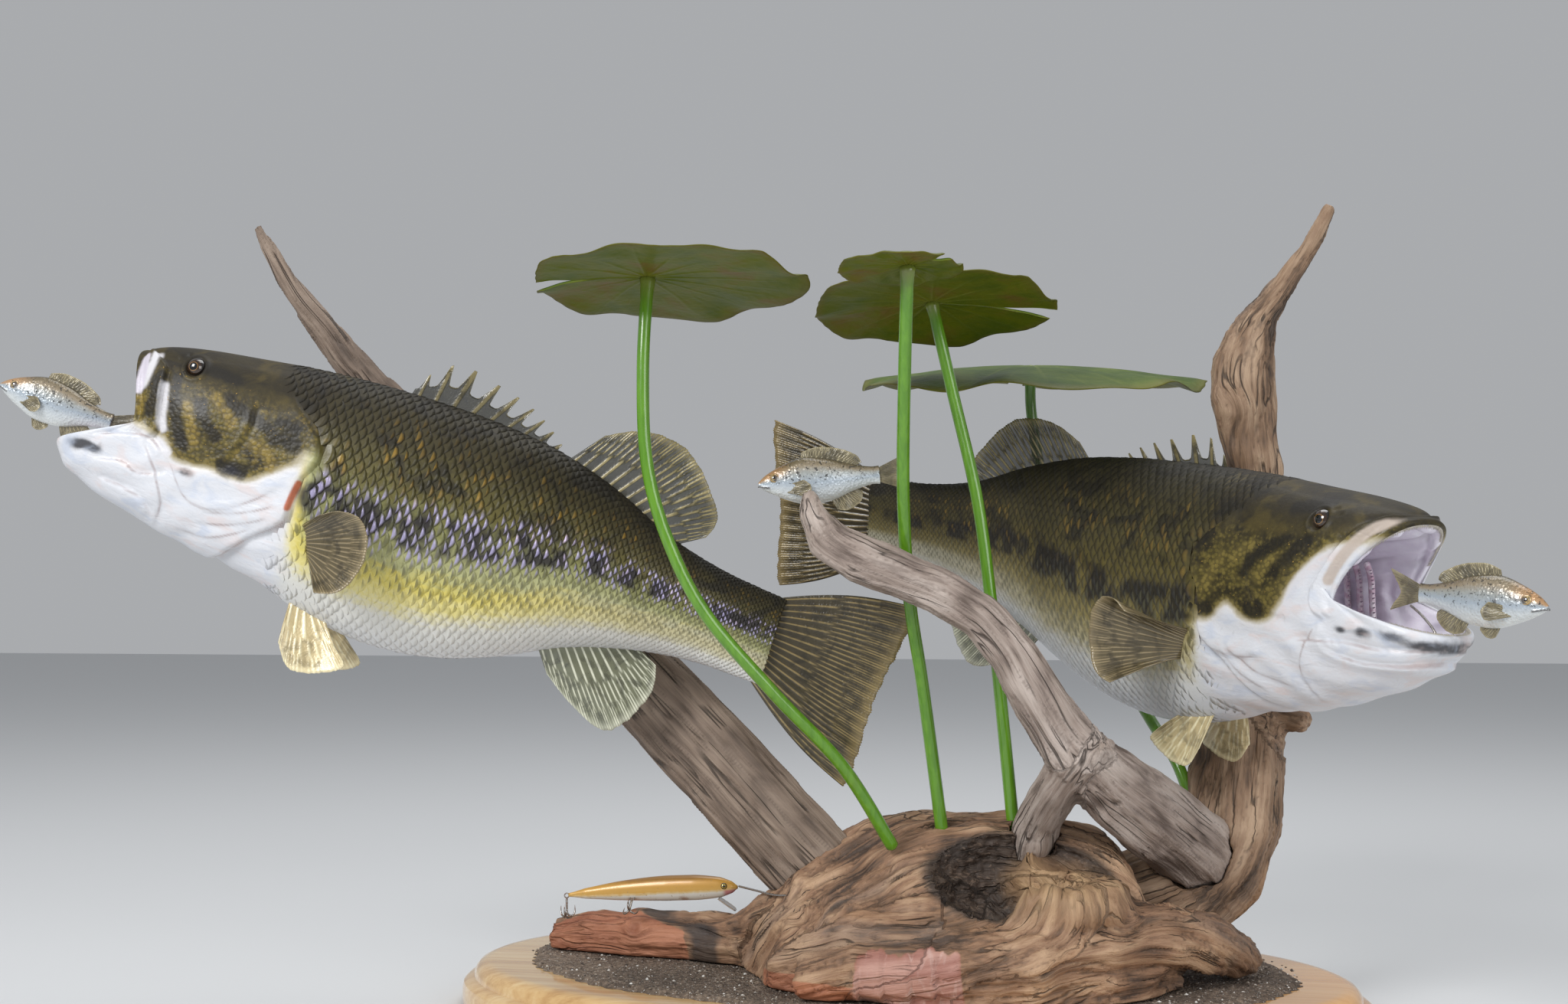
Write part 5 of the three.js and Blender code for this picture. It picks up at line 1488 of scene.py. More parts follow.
def root_marks(place):
    """Where the root's hollow is painted dark as shade, where it is cut and red, or scorched."""
    x, y, z = place.T
    inside, heart = root_hollow(place)
    # Painted shade: the hollow is darkened, less over the heart wood that stands in it.
    dark = smoothstep(1.12, 0.99, inside) * (1 - 0.85 * island(x, z))
    over = z - 59 + 0.25 * (x + 180)
    arm = smoothstep(1.5, -1.5, over) * smoothstep(-152, -157, x + 0.1 * (z - 45)) * smoothstep(32, 26, y)
    under = smoothstep(-92, -86, x) * smoothstep(-20, -28, x)
    under = under * smoothstep(47, 43, z) * smoothstep(-50, -58, y)
    burn = bell(x, -142, 15) * smoothstep(66, 52, z) + bell(over, 4, 5) * bell(x, -182, 30)
    burn += 0.7 * smoothstep(166, 192, x) * smoothstep(66, 52, z)
    chisel = facets(x, y, z)
    return {"hollow": dark, "heart": heart, "burn": np.clip(burn, 0, 1),
            "cut": np.maximum.reduce([arm, under, chisel]), "chisel": chisel}


WOOD_PAINT = {                                            # pale, middle, dark
    "driftwood_plank": ((0.31, 0.235, 0.18), (0.205, 0.148, 0.11), (0.095, 0.066, 0.048)),
    "driftwood_fork": ((0.5, 0.42, 0.37), (0.335, 0.265, 0.225), (0.11, 0.078, 0.062)),
    "driftwood_trunk": ((0.42, 0.29, 0.19), (0.24, 0.145, 0.085), (0.06, 0.036, 0.022)),
    "driftwood_root": ((0.48, 0.31, 0.19), (0.27, 0.15, 0.085), (0.062, 0.036, 0.023)),
}


@named_finish("{}_finish")
def wood_finish(finish, node):
    pale, middle, deep = WOOD_PAINT[node]
    place = finish.place()
    grain = finish.vector_mark("grain")
    chisel = finish.mark("chisel")
    flow = finish.scaled(grain, (1, 1, 0.09))
    fibres = finish.noise(finish.scaled(grain, (1, 1, 0.05)), 420, 4, 0.4, 0.65)
    broad = finish.noise(flow, 80, 4, 1.4)
    swirl = finish.noise(finish.scaled(grain, (1, 1, 0.25)), 34, 3, 2.6)
    weather = finish.noise(place, 26, 3, 0.4)
    shade = fibres * 0.45 + broad * 0.45 + (swirl - 0.5) * 0.5 + finish.mark("lumps") * 0.12
    patchy = 0.4 if node == "driftwood_plank" else 1.0
    grey = finish.noise(flow, 16, 3, 0.3).between(0.5, 0.66)
    tan = finish.noise(flow, 20, 2, 0.6).between(0.52, 0.7)
    crack = finish.noise(finish.scaled(grain, (1, 1, 0.07)), 95, 2, 0.5)
    crack = crack.between(0.475, 0.498) * crack.between(0.525, 0.502) * weather.between(0.42, 0.56)
    streaks = finish.noise(finish.scaled(place, (1, 1, 0.12)), 160, 3, 0.8).between(0.52, 0.68)
    veined = broad.between(0.35, 0.65)
    red = finish.coats(finish.mix(veined, (0.26, 0.09, 0.045), (0.44, 0.19, 0.105)),
                       (chisel, finish.mix(veined, (0.34, 0.15, 0.115), (0.5, 0.28, 0.225))),
                       (streaks * chisel * 0.5, (0.6, 0.43, 0.38)))
    ragged = (swirl - 0.5) * 1.1 + (fibres - 0.5) * 0.5
    chips = finish.noise(finish.scaled(place, (1, 1, 2.2)), 150, 3, 1.5).between(0.56, 0.66)
    heart = finish.mix(broad.between(0.3, 0.7), (0.26, 0.15, 0.075), (0.56, 0.37, 0.2))
    colour = finish.coats(
        finish.ramp(shade + (weather - 0.5) * 0.4 + 0.05, ((0.3, deep), (0.46, middle), (0.66, pale))),
        (grey * 0.5 * patchy, (0.29, 0.255, 0.225)),
        (tan * 0.45 * patchy, (0.5, 0.27, 0.12)),
        (finish.mark("cleft").between(0.3, 1.0) * 0.45, deep),
        (crack * 0.8, (0.028, 0.018, 0.012)),
        ((finish.mark("burn") + (weather - 0.5) * 1.6).between(0.4, 0.8) * 0.85, (0.035, 0.028, 0.026)),
        ((finish.mark("cut") + ragged).between(0.35, 0.7), red),
        # Painted shade in the root's hollow, flecked with lighter chips.
        (finish.mark("hollow") * 0.92, finish.mix(chips * 0.5, (0.035, 0.024, 0.018), (0.2, 0.14, 0.1))),
        (finish.mark("heart") * 0.8, heart))
    normal = finish.bump(fibres * 0.7 + broad * 0.6 + swirl * 0.5 - crack * 0.8, 0.0026, 0.8)
    return finish.done(Base_Color=colour, Roughness=0.62 + (fibres - 0.5) * 0.3, Normal=normal)


# -------- lily pads and stems

PAD_COLUMNS, PAD_ROWS = 260, 56


@named_finish("lily_pad_finish")
def pad_finish(finish):
    rest = finish.vector_mark("rest")
    blotches = finish.noise(rest, 28, 4, 0.5)
    small = finish.noise(rest, 150, 3, 0.4)
    green = finish.ramp(blotches + (small - 0.5) * 0.2, (
        (0.3, (0.03, 0.062, 0.006)), (0.5, (0.058, 0.1, 0.009)), (0.7, (0.115, 0.155, 0.02))))
    olive = finish.ramp(blotches * 0.8 + small * 0.2, (
        (0.32, (0.075, 0.115, 0.004)), (0.52, (0.135, 0.15, 0.006)), (0.68, (0.17, 0.095, 0.018))))
    colour = finish.coats(green, (finish.mark("under") * 0.9, olive),
                          (finish.mark("vein").between(0.2, 0.9) * 0.3, (0.17, 0.2, 0.04)),
                          (finish.mark("radial").between(0.9, 1.0) * 0.5, (0.15, 0.12, 0.03)))
    normal = finish.bump(small * 0.6 + finish.cells(rest, 210) * 0.4, 0.0012, 0.5)
    return finish.done(Base_Color=colour, Roughness=0.45, Normal=normal, Specular_IOR_Level=0.15)


def pad_veins(angle, radial, slit):
    """Vein relief: main veins from the hub that fork halfway out."""
    turn = (angle - slit) / TURN
    fine = np.maximum(radial, 0.02)

    def comb(count, width):
        phase = (turn * count) % 1
        gap = np.abs(phase - 0.5) * 2
        return np.exp(-((1 - gap) * fine / count * TURN / width) ** 2)

    main = comb(14, 0.022) * smoothstep(1.0, 0.9, radial)
    forks = comb(28, 0.015) * smoothstep(0.42, 0.55, radial) * smoothstep(1.0, 0.9, radial)
    return np.maximum(main, 0.7 * forks)


def lily_pad(number, facts):
    """A leathery pad with a slit, a wavy rim and raised veins below."""
    hub, radius, slit = np.array(facts["hub"], float) + STAND, facts["radius"], math.radians(facts["slit"])
    u = np.linspace(0, 1, PAD_COLUMNS)[:, None]
    v = np.linspace(0, 1, PAD_ROWS)[None]
    reach = radius * lerp(0.03, 1, v)
    wedge = 0.3 + facts["slit_width"] * 0.75 * smoothstep(0.4, 1.0, v)
    gap = np.arcsin(np.minimum(0.9, wedge / reach))
    angle = slit + lerp(gap, TURN - gap, u)
    wave = 0.02 * radius * v ** 3 * (np.sin(7 * angle) + 0.6 * np.sin(11 * angle + 1))
    rim = reach * (1 + 0.03 * np.sin(5 * angle) * v)
    rim = rim - 0.003 * radius * v ** 8 * (1 + np.sin(37 * angle + 2 * np.sin(9 * angle)))
    away = slit + math.pi
    x = rim * np.cos(angle) + facts["offset"] * v * math.cos(away)
    y = rim * np.sin(angle) + facts["offset"] * v * math.sin(away)
    veins = pad_veins(angle, v, slit)
    crumple = 0.45 * np.sin(angle * 17 + 6 * v) * v ** 2 + 0.8 * np.sin(13 * v + 4 * np.sin(3 * angle)) * v
    z = wave - facts["droop"] * v * v + crumple * 0.6 + 0 * u
    full = lerp(0.35, 1, smoothstep(1.0, 0.93, v))
    top = np.stack([x, y, z + (PAD_THICKNESS / 2 - 0.4 * veins) * full], -1)
    below = np.stack([x, y, z - (PAD_THICKNESS / 2 + 0.55 * veins * lerp(1.2, 0.4, v)) * full], -1)
    loop = np.concatenate([top, below[:, ::-1]], 1)
    axis = math.radians(PAD_FACING + 90)
    axis = Vector((math.cos(axis), math.sin(axis), 0))
    spin = np.array(Matrix.Rotation(math.radians(-facts["tilt"]), 3, axis))
    points = loop @ spin.T + hub
    radial = v + 0 * u
    weld(add_piece(f"lily_pad_{number}_leaf", points, folded_quads(points), pad_finish(),
                   (f"lily_pad_{number}",), "lily_pad", rest=loop * MM, vein=folded(veins),
                   radial=folded(radial), under=np.concatenate([0 * z, 0 * z + 1], 1)))


STEM_SIDES = 22
STEMS = (
    ((-12, -44, 118), (-38, -70, 168), (-75, -96, 213), (-112, -114, 260), (-134, -120, 305),
     (-146, -121, 350), (-149, -119, 405), (-148, -113, 459)),
    ((16, -17, 118), (7, -41, 213), (2, -64, 269), (2, -88, 328), (6, -110, 393), (11, -130, 457)),
    ((59, -4, 118), (51, -12, 212), (45, -17, 279), (37, -14, 335), (22, -8, 399), (9, -6, 455.5)),
    ((172, 62, 122), (159, 70, 160), (140, 93, 190), (114, 124, 233), (88, 143, 291), (68, 147, 350),
     (60, 145, 400), (60, 141, 431)),
)


@named_finish("lily_stem_finish")
def stem_finish(finish):
    streaks = finish.noise(finish.scaled(finish.place(), (1, 1, 0.12)), 320, 3, 0.3)
    patches = finish.noise(finish.place(), 24, 3, 0.4)
    colour = finish.coats((0.085, 0.235, 0.008), (streaks.between(0.3, 0.7), (0.12, 0.3, 0.013)),
                          (patches.between(0.6, 0.8) * 0.2, (0.22, 0.26, 0.03)),
                          (finish.mark("along").between(0.93, 1.0) * 0.5, (0.22, 0.13, 0.05)))
    return finish.done(Base_Color=colour, Roughness=0.24, Coat_Weight=0.6, Coat_Roughness=0.1,
                       Normal=finish.bump(streaks, 0.0008, 0.35))


def lily_stems():
    for number, path in enumerate(STEMS, 1):
        points, quads, share = tube(np.array(path, float) + STAND, STEM_RADIUS, STEM_SIDES, steps=90,
                                    taper=((0, 0.5, 0.96, 1), (1.04, 0.98, 0.98, 1.25)))
        along = np.repeat(np.concatenate([[0, 0], share, [1, 1]]), STEM_SIDES)
        weld(add_piece(f"lily_stem_{number}_rod", points, quads, stem_finish(), (f"lily_stem_{number}",),
                       "lily_stem", along=along))


# -------- board and sand

@named_finish("board_finish")
def board_finish(finish):
    place = finish.place()
    sway = finish.noise(finish.scaled(place, (0.7, 3.2, 1)), 4.5, 2, 0.5)
    lifted = finish.scaled(place, (0.35, 6.5, 6.5))
    rings = finish.noise(lifted, 13, 4, 0.7, 0.6)
    fibres = finish.noise(finish.scaled(place, (0.5, 26, 26)), 22, 3, 0.2)
    shade = rings * 0.7 + fibres * 0.18 + sway * 0.15
    colour = finish.ramp(shade, ((0.34, (0.46, 0.25, 0.085)), (0.5, (0.64, 0.41, 0.175)),
                                 (0.66, (0.74, 0.54, 0.28))))
    red = place.part("X").between(-0.05, 0.3)
    colour = finish.mix(red * 0.5, colour, (0.78, 0.33, 0.05))
    return finish.done(Base_Color=colour, Roughness=0.24, Coat_Weight=0.8, Coat_Roughness=0.06,
                       Normal=finish.bump(fibres + rings, 0.0004, 0.3))


def base_board():
    """The oval board, built up ring by ring through its routed edge."""
    length, width = BOARD["half_length"], BOARD["half_width"]
    deselect()
    bpy.ops.mesh.primitive_circle_add(vertices=160, radius=1.0, fill_type="NGON")
    board = bpy.context.object
    board.name = board.data.name = "base_board_wood"
    edit_all()
    inset, level = BOARD_PROFILE[0]
    first = ((length - inset) * MM, (width - inset) * MM, 1)
    bpy.ops.transform.resize(value=first, center_override=(0, 0, 0))
    for step, height in BOARD_PROFILE[1:]:
        bpy.ops.mesh.extrude_region_move(TRANSFORM_OT_translate={"value": (0, 0, (height - level) * MM)})
        grow = ((length - step) / (length - inset), (width - step) / (width - inset), 1)
        bpy.ops.transform.resize(value=grow, center_override=(0, 0, height * MM))
        inset, level = step, height
    bpy.ops.mesh.select_all(action="SELECT")
    bpy.ops.mesh.normals_make_consistent(inside=False)
    bpy.ops.object.mode_set(mode="OBJECT")
    bpy.ops.object.shade_smooth_by_angle(angle=math.radians(32))
    finish_piece(board, board_finish(), ("base_board",))


@named_finish("sand_finish")
def sand_finish(finish):
    place = finish.place()
    grit = finish.cells(place, 640)
    coarse = finish.noise(place, 380, 3, 0.3)
    patches = finish.noise(place, 22, 3, 0.4)
    colour = finish.ramp(coarse * 0.6 + patches * 0.4, (
        (0.36, (0.07, 0.051, 0.038)), (0.5, (0.15, 0.11, 0.081)), (0.64, (0.27, 0.205, 0.152))))
    specks = finish.noise(place, 900, 1).between(0.68, 0.72)
    colour = finish.mix(specks * 0.9, colour, (0.72, 0.7, 0.66))
    return finish.done(Base_Color=colour, Roughness=0.85, Normal=finish.bump(grit + coarse, 0.0016, 0.9))


@named_finish("pebble_finish")
def pebble_finish(finish):
    colour = finish.ramp(finish.mark("pick"), (
        (0.0, (0.045, 0.035, 0.03)), (0.45, (0.16, 0.12, 0.09)), (0.75, (0.3, 0.25, 0.2)),
        (0.92, (0.74, 0.72, 0.68))))
    return finish.done(Base_Color=colour, Roughness=0.7)


SAND_COLUMNS, SAND_ROWS = 420, 100
GRAIN_COUNT = 2600


def sand_bed():
    """Coarse sand glued on the board: a rough layer with a ragged edge."""
    angle = round_angles(SAND_COLUMNS)[None]
    share = np.linspace(0.02, 1, SAND_ROWS)[:, None] ** 0.75
    ragged = 1 - 0.012 * (1 + np.sin(9 * angle) * np.sin(5 * angle + 1)) - 0.006 * (1 + np.sin(83 * angle))
    x = SAND["half_length"] * share * ragged * np.cos(angle)
    y = SAND["half_width"] * share * ragged * np.sin(angle)
    flat = np.stack([x, y, 0 * x], -1)
    mounds = rough(flat, 1 / 24, 2, 11)
    grit = rough(flat, 1 / 2.2, 2, 12)
    fade = smoothstep(1.0, 0.975, share)
    z = SAND["bottom"] + 0.1 + (SAND["top"] - SAND["bottom"] - 0.6 + 0.45 * mounds + 0.55 * grit) * fade
    top = np.stack([x, y, z], -1)
    floor = top[-1:] * (1, 1, 0) + (0, 0, SAND["bottom"])
    points = np.concatenate([0 * floor + (0, 0, SAND["top"]), top, floor, 0 * floor + (0, 0, SAND["bottom"])])
    weld(add_piece("base_ground_sand", points, wrapped_quads(points), sand_finish(), ("base_ground",),
                   "sand"))
    loose_grains()


def loose_grains():
    """Eight-sided grains strewn over the sand, joined into one piece."""
    random = np.random.default_rng(21)
    count = GRAIN_COUNT
    turn = random.uniform(0, TURN, count)
    out = np.sqrt(random.uniform(0, 1, count)) * 0.985
    size = random.uniform(0.45, 1.25, count)
    spots = np.stack([SAND["half_length"] * out * np.cos(turn), SAND["half_width"] * out * np.sin(turn),
                      SAND["top"] - 0.35 + 0 * out], 1)
    corners = np.array(((1, 0, 0), (0, 1, 0), (-1, 0, 0), (0, -1, 0), (0, 0, 1), (0, 0, -1)), float)
    faces = np.array(((0, 1, 4), (1, 2, 4), (2, 3, 4), (3, 0, 4), (1, 0, 5), (2, 1, 5), (3, 2, 5), (0, 3, 5)))
    bits = corners[None] * random.uniform(0.6, 1.3, (count, 6, 1)) * size[:, None, None]
    bits = bits * (1, 1, 0.7) + spots[:, None]
    pick = np.repeat(random.uniform(0, 1, count), len(corners))
    grains = add_piece("base_ground_grains", bits, repeated(faces, count, len(corners)), pebble_finish(), (),
                       "sand", pick=pick)
    grains.data.shade_flat()


# -------- lure and wires

PLUG_ROWS, PLUG_COLUMNS = 90, 40
LIP_ROWS, LIP_COLUMNS = 21, 24


@named_finish("{}_finish")
def metal_finish(finish, _kind, bright, rust):
    spots = finish.noise(finish.place(), 420, 3, 0.5)
    share = spots.between(0.44, 0.6) * rust
    colour = finish.mix(share, bright, (0.16, 0.07, 0.03))
    return finish.done(Base_Color=colour, Metallic=1 - share * 0.8, Roughness=0.26 + share * 0.5)


@named_finish("lure_paint_finish")
def lure_finish(finish):
    rest = finish.vector_mark("rest")
    height = rest.part("Z") * (1 / MM / LURE["radius"])
    ahead = rest.part("X") * (-1 / MM / LURE["length"])
    cloud = finish.noise(rest, 260, 3, 0.4)
    chin = ahead.between(0.09, 0.06) * height.between(-0.05, -0.25)
    front_hanger = ahead.between(0.27, 0.3) * ahead.between(0.35, 0.32)
    rear_hanger = ahead.between(0.56, 0.6) * ahead.between(0.66, 0.62)
    rust = rear_hanger.math("MAXIMUM", front_hanger) * height.between(-0.25, -0.6) * cloud.between(0.3, 0.6)
    worn = finish.noise(rest, 700, 2).between(0.66, 0.72)
    colour = finish.ramp((height + (cloud - 0.5) * 0.25) * 0.5 + 0.5, (
        (0.36, (0.72, 0.68, 0.6)), (0.42, (0.66, 0.5, 0.26)), (0.5, (0.56, 0.32, 0.065)),
        (0.8, (0.5, 0.26, 0.045)), (0.97, (0.26, 0.13, 0.03))))
    colour = finish.coats(colour, (chin * 0.8, (0.52, 0.12, 0.14)), (rust * 0.7, (0.3, 0.12, 0.04)),
                          (worn * 0.6, (0.3, 0.2, 0.1)))
    return finish.done(Base_Color=colour, Roughness=0.34, Metallic=0.1, Coat_Weight=0.4, Coat_Roughness=0.12)


@named_finish("lure_lip_finish")
def lip_finish(finish):
    amber = finish.mix(finish.noise(finish.place(), 160, 2), (0.42, 0.33, 0.24), (0.28, 0.21, 0.15))
    return finish.done(Base_Color=amber, Roughness=0.08, Coat_Weight=1.0, Alpha=0.72)


def lure_place(points):
    """Lure points, nose at the origin and tail to -x, set in the row frame."""
    turn = turned(LURE["heading"], LURE["pitch"])
    return np.asarray(points, float) @ turn.T + np.array(LURE["nose"], float) + STAND


def lure():
    """The wooden plug with its lip and eyes."""
    share = np.linspace(0, 1, PLUG_ROWS)
    stations = np.array(LURE_PROFILE)
    size = smooth_rows(stations, np.interp(share, stations[:, 0], range(len(stations))))[:, 1]
    angle = round_angles(PLUG_COLUMNS)[None]
    radius = LURE["radius"] * np.clip(size, 0.03, 1)[:, None]
    x = -LURE["length"] * share[:, None] + 0 * angle
    points = np.stack([x, 0.72 * radius * np.sin(angle),
                       radius * np.cos(angle) + 1.5 * np.sin(math.pi * share)[:, None]], -1)
    points = with_poles(points)
    posed = lure_place(points)
    weld(add_piece("lure_body_plug", posed, wrapped_quads(posed), lure_finish(), ("lure_body",), "lure_paint",
                   rest=points * MM))
    lure_lip()
    turn = turned(LURE["heading"], LURE["pitch"])
    finish = eye_finish("lure", (0.8, 0.62, 0.12), (0.03, 0.02, 0.01), pupil=0.55)
    for label, side in SIDES:
        centre = lure_place(LURE_EYE * np.array((1, side, 1)))
        axis = turn @ np.array((0.25, side, 0.05))
        eyeball(f"lure_eye_{label}", centre, axis, LURE_EYE_RADIUS, finish, flat=0.7)


def lure_lip():
    """The scooped plate under the lure's chin."""
    u = np.linspace(-1, 1, LIP_ROWS)[:, None]
    v = np.linspace(0, 1, LIP_COLUMNS)[None]
    scoop = 0.8 * (1 - u ** 2) * v
    x = -13 + 10 * v + 0 * u + scoop
    y = u * (3.4 + 1.2 * v - 1.5 * v ** 4)
    z = -6.6 - 8.5 * v + 0 * u + 0.9 * u ** 2 * v
    offset = np.array((0.65, 0, 0.76)) * 0.5
    sheet = np.stack([x, y, z], -1)
    lip = lure_place(np.concatenate([sheet + offset, (sheet - offset)[:, ::-1]], 1))
    weld(add_piece("lure_lip_scoop", lip, folded_quads(lip), lip_finish(), ("lure_lip",), "lure_lip"))


def hook_shell(facts):
    """Shank, three pointed prongs and the ring of one treble hook."""
    shell = Shell()
    lean = math.radians(-facts["lean"])
    turn = np.array(((1, 0, 0), (0, math.cos(lean), -math.sin(lean)), (0, math.sin(lean), math.cos(lean))))

    def rod(path, radius, **options):
        path = lure_place(np.array(path, float) @ turn.T + facts["at"])
        points, quads, _ = tube(path, radius, 10, **options)
        shell.add(points, quads)

    rod(((0, 0, -1), (0, 0, -5), (0, 0, -9)), HOOK_RADIUS)
    for degrees in (30, 150, 270):
        a = math.radians(degrees)
        prong = ((0, -8), (0.5, -10.3), (1.9, -11.7), (4.2, -11.5), (5.5, -9), (5.4, -5))
        rod([(reach * math.cos(a), reach * math.sin(a), z) for reach, z in prong], HOOK_RADIUS * 0.85,
            steps=30, taper=((0, 0.75, 1), (1, 0.9, 0.15)))
    rod([(1.5 * math.sin(a), 0, 1.2 - 1.5 * math.cos(a)) for a in np.linspace(0, TURN, 17)], 0.4, steps=40)
    return shell


def hooks_and_wires():
    hook = metal_finish("hook", (0.3, 0.28, 0.26), 0.85)
    wire = metal_finish("wire", (0.42, 0.4, 0.38), 0.25)
    for label, facts in LURE_HOOKS.items():
        weld(hook_shell(facts).piece(f"lure_{label}_treble", hook, (f"lure_hook_{label}",), "hook_metal"))
    for name, path in WIRES.items():
        points, quads, _ = tube(np.array(path, float) + STAND, WIRE_RADIUS, 12, steps=40)
        weld(add_piece(f"{name}_rod", points, quads, wire, (name,), "hook_metal"))


# -------- stage

def build_stage(settings):
    """Pale floor, soft lights, world and the camera."""
    deselect()
    bpy.ops.mesh.primitive_plane_add(size=14, location=(0, 0, 0))
    floor = bpy.context.object
    floor.name = "floor"
    floor_finish = Finish("floor_finish").done(Base_Color=tuple(settings.floor_colour), Roughness=0.8)
    floor.data.materials.append(floor_finish)
    for name, place, aim, size, power in (
            ("key_light", (-1.2, -2.2, 1.7), (0, 0, 0.3), 1.0, 52),
            ("fill_light", (1.9, -1.7, 1.0), (0, 0, 0.25), 1.4, 20),
            ("top_light", (0.2, 0.5, 2.4), (0, 0, 0.3), 1.6, 24)):
        bpy.ops.object.light_add(type="AREA", location=place)
        light = bpy.context.object
        light.name = name
        light.data.size = size
        light.data.energy = power * settings.light_strength
        light.rotation_euler = (Vector(aim) - Vector(place)).to_track_quat("-Z", "Y").to_euler()
    bpy.ops.object.camera_add(location=Vector(CAMERA_PLACE) * MM,
                              rotation=[math.radians(a) for a in CAMERA_TURN])
    camera = bpy.context.object
    camera.name = "camera"
    camera.data.sensor_width = CAMERA_SENSOR
    camera.data.lens = settings.focal_length
    bpy.context.scene.camera = camera
    world = bpy.data.worlds.new("studio")
    world.use_nodes = True
    background = world.node_tree.nodes["Background"]
    background.inputs["Color"].default_value = (0.83, 0.85, 0.88, 1)
    background.inputs["Strength"].default_value = 0.48
    bpy.context.scene.world = world
    bpy.context.scene.view_settings.view_transform = "Standard"


# -------- add-on

class BassSettings(PropertyGroup):
    """Sizes of the two bass."""
    scale_rows: IntProperty(name="Scale rows", description="Rows of scales from back to belly on each side",
                            default=19, min=12, max=40)
    eye_radius: FloatProperty(name="Eye radius", description="Radius of each glass eye", default=0.0063,
                              unit="LENGTH")


class WoodSettings(PropertyGroup):
    """How the driftwood is worn."""
    split_depth: FloatProperty(name="Split depth", default=1.0, subtype="FACTOR", min=0, max=2,
                               description="Depth of the splits along the grain, as a share")


class StageSettings(PropertyGroup):
    """Camera, floor and lights."""
    focal_length: FloatProperty(name="Focal length", description="Camera focal length in millimetres",
                                default=CAMERA_LENS, unit="CAMERA")
    light_strength: FloatProperty(name="Light strength", default=1.0, min=0, subtype="FACTOR",
                                  description="Share of the planned power of the lights")
    floor_colour: FloatVectorProperty(name="Floor colour", description="Colour of the plain floor", size=3,
                                      subtype="COLOR", default=(0.62, 0.63, 0.64), min=0, max=1)


def whole_bass(fish, settings):
    """Everything on one bass, from the skin to the teeth."""
    bass_skin(fish)
    for label, side in SIDES:
        bass_scales(fish, label, side, settings.scale_rows)
    bass_fins(fish)
    bass_eyes(fish, settings.eye_radius / MM)
    bass_tongue(fish)
    bass_teeth(fish)
    bass_gill_arches(fish)


UNDO = {"REGISTER", "UNDO"}


class DISPLAY_OT_main_bass(Operator):
    """Builds the skin, scales, fins, eyes and mouth of the main bass"""
    bl_idname = "display.main_bass"
    bl_label = "Main bass"
    bl_options = UNDO

    def execute(self, context):
        whole_bass("bass", context.scene.display_bass)
        return {"FINISHED"}


class DISPLAY_OT_second_bass(Operator):
    """Builds the skin, scales, fins, eyes and mouth of the second bass"""
    bl_idname = "display.second_bass"
    bl_label = "Second bass"
    bl_options = UNDO

    def execute(self, context):
        whole_bass("second_bass", context.scene.display_bass)
        return {"FINISHED"}


class DISPLAY_OT_bait_fish(Operator):
    """Builds the three small bait fish"""
    bl_idname = "display.bait_fish"
    bl_label = "Bait fish"
    bl_options = UNDO

    def execute(self, context):
        for label in BAIT_FISH:
            bait_fish(label)
        return {"FINISHED"}


class DISPLAY_OT_driftwood(Operator):
    """Weathers the four pieces of driftwood along their grain"""
    bl_idname = "display.driftwood"
    bl_label = "Driftwood"
    bl_options = UNDO

    def execute(self, context):
        for node in WOOD:
            wood_piece(node, context.scene.display_wood.split_depth)
        return {"FINISHED"}


class DISPLAY_OT_lily_pads(Operator):
    """Builds the lily pads with their veins, and their stems"""
    bl_idname = "display.lily_pads"
    bl_label = "Lily pads"
    bl_options = UNDO

    def execute(self, context):
        for number, facts in enumerate(PADS, 1):
            lily_pad(number, facts)
        lily_stems()
        return {"FINISHED"}


class DISPLAY_OT_base(Operator):
    """Builds the oval board and its bed of sand"""
    bl_idname = "display.base"
    bl_label = "Board and sand"
    bl_options = UNDO

    def execute(self, context):
        base_board()
        sand_bed()
        return {"FINISHED"}


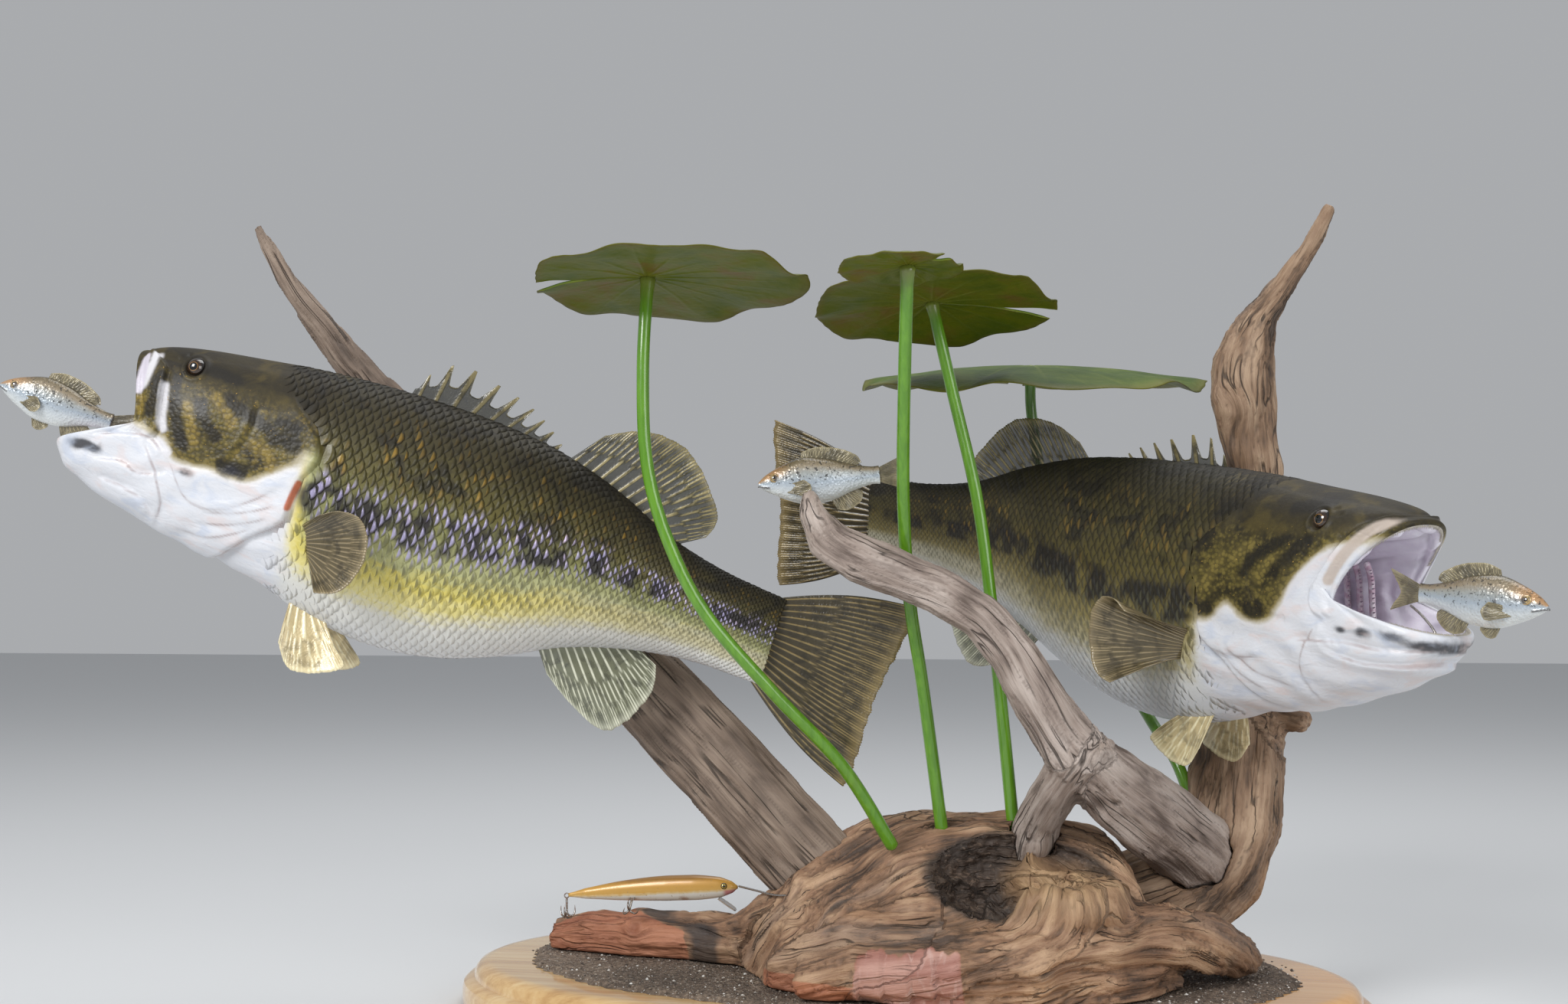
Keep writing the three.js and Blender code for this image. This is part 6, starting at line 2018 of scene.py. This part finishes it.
class DISPLAY_OT_lure(Operator):
    """Builds the lure with its hooks, and the thin wires"""
    bl_idname = "display.lure"
    bl_label = "Lure and wires"
    bl_options = UNDO

    def execute(self, context):
        lure()
        hooks_and_wires()
        return {"FINISHED"}


class DISPLAY_OT_stage(Operator):
    """Sets up the floor, the soft lights and the camera"""
    bl_idname = "display.stage"
    bl_label = "Stage"
    bl_options = UNDO

    def execute(self, context):
        build_stage(context.scene.display_stage)
        return {"FINISHED"}


OPERATORS = (DISPLAY_OT_main_bass, DISPLAY_OT_second_bass, DISPLAY_OT_bait_fish, DISPLAY_OT_driftwood,
             DISPLAY_OT_lily_pads, DISPLAY_OT_base, DISPLAY_OT_lure, DISPLAY_OT_stage)


class DISPLAY_PT_panel(Panel):
    """Lists the display's pieces and their settings"""
    bl_idname = "DISPLAY_PT_panel"
    bl_label = "Bass Display"
    bl_space_type = "VIEW_3D"
    bl_region_type = "UI"
    bl_category = "Bass Display"

    def draw(self, context):
        scene = context.scene
        for label, group in (("Bass", scene.display_bass), ("Wood", scene.display_wood),
                             ("Stage", scene.display_stage)):
            box = self.layout.box()
            box.label(text=label)
            for key in group.__annotations__:
                box.prop(group, key)
        for operator in OPERATORS:
            self.layout.operator(operator.bl_idname)


CLASSES = (BassSettings, WoodSettings, StageSettings, *OPERATORS, DISPLAY_PT_panel)


def register():
    for kind in CLASSES:
        bpy.utils.register_class(kind)
    bpy.types.Scene.display_bass = PointerProperty(type=BassSettings)
    bpy.types.Scene.display_wood = PointerProperty(type=WoodSettings)
    bpy.types.Scene.display_stage = PointerProperty(type=StageSettings)


def unregister():
    del bpy.types.Scene.display_stage
    del bpy.types.Scene.display_wood
    del bpy.types.Scene.display_bass
    for kind in reversed(CLASSES):
        bpy.utils.unregister_class(kind)


def main():
    register()
    bpy.ops.display.main_bass()
    bpy.ops.display.second_bass()
    bpy.ops.display.bait_fish()
    bpy.ops.display.driftwood()
    bpy.ops.display.lily_pads()
    bpy.ops.display.base()
    bpy.ops.display.lure()
    bpy.ops.display.stage()
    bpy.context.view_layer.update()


if __name__ == "__main__":
    main()
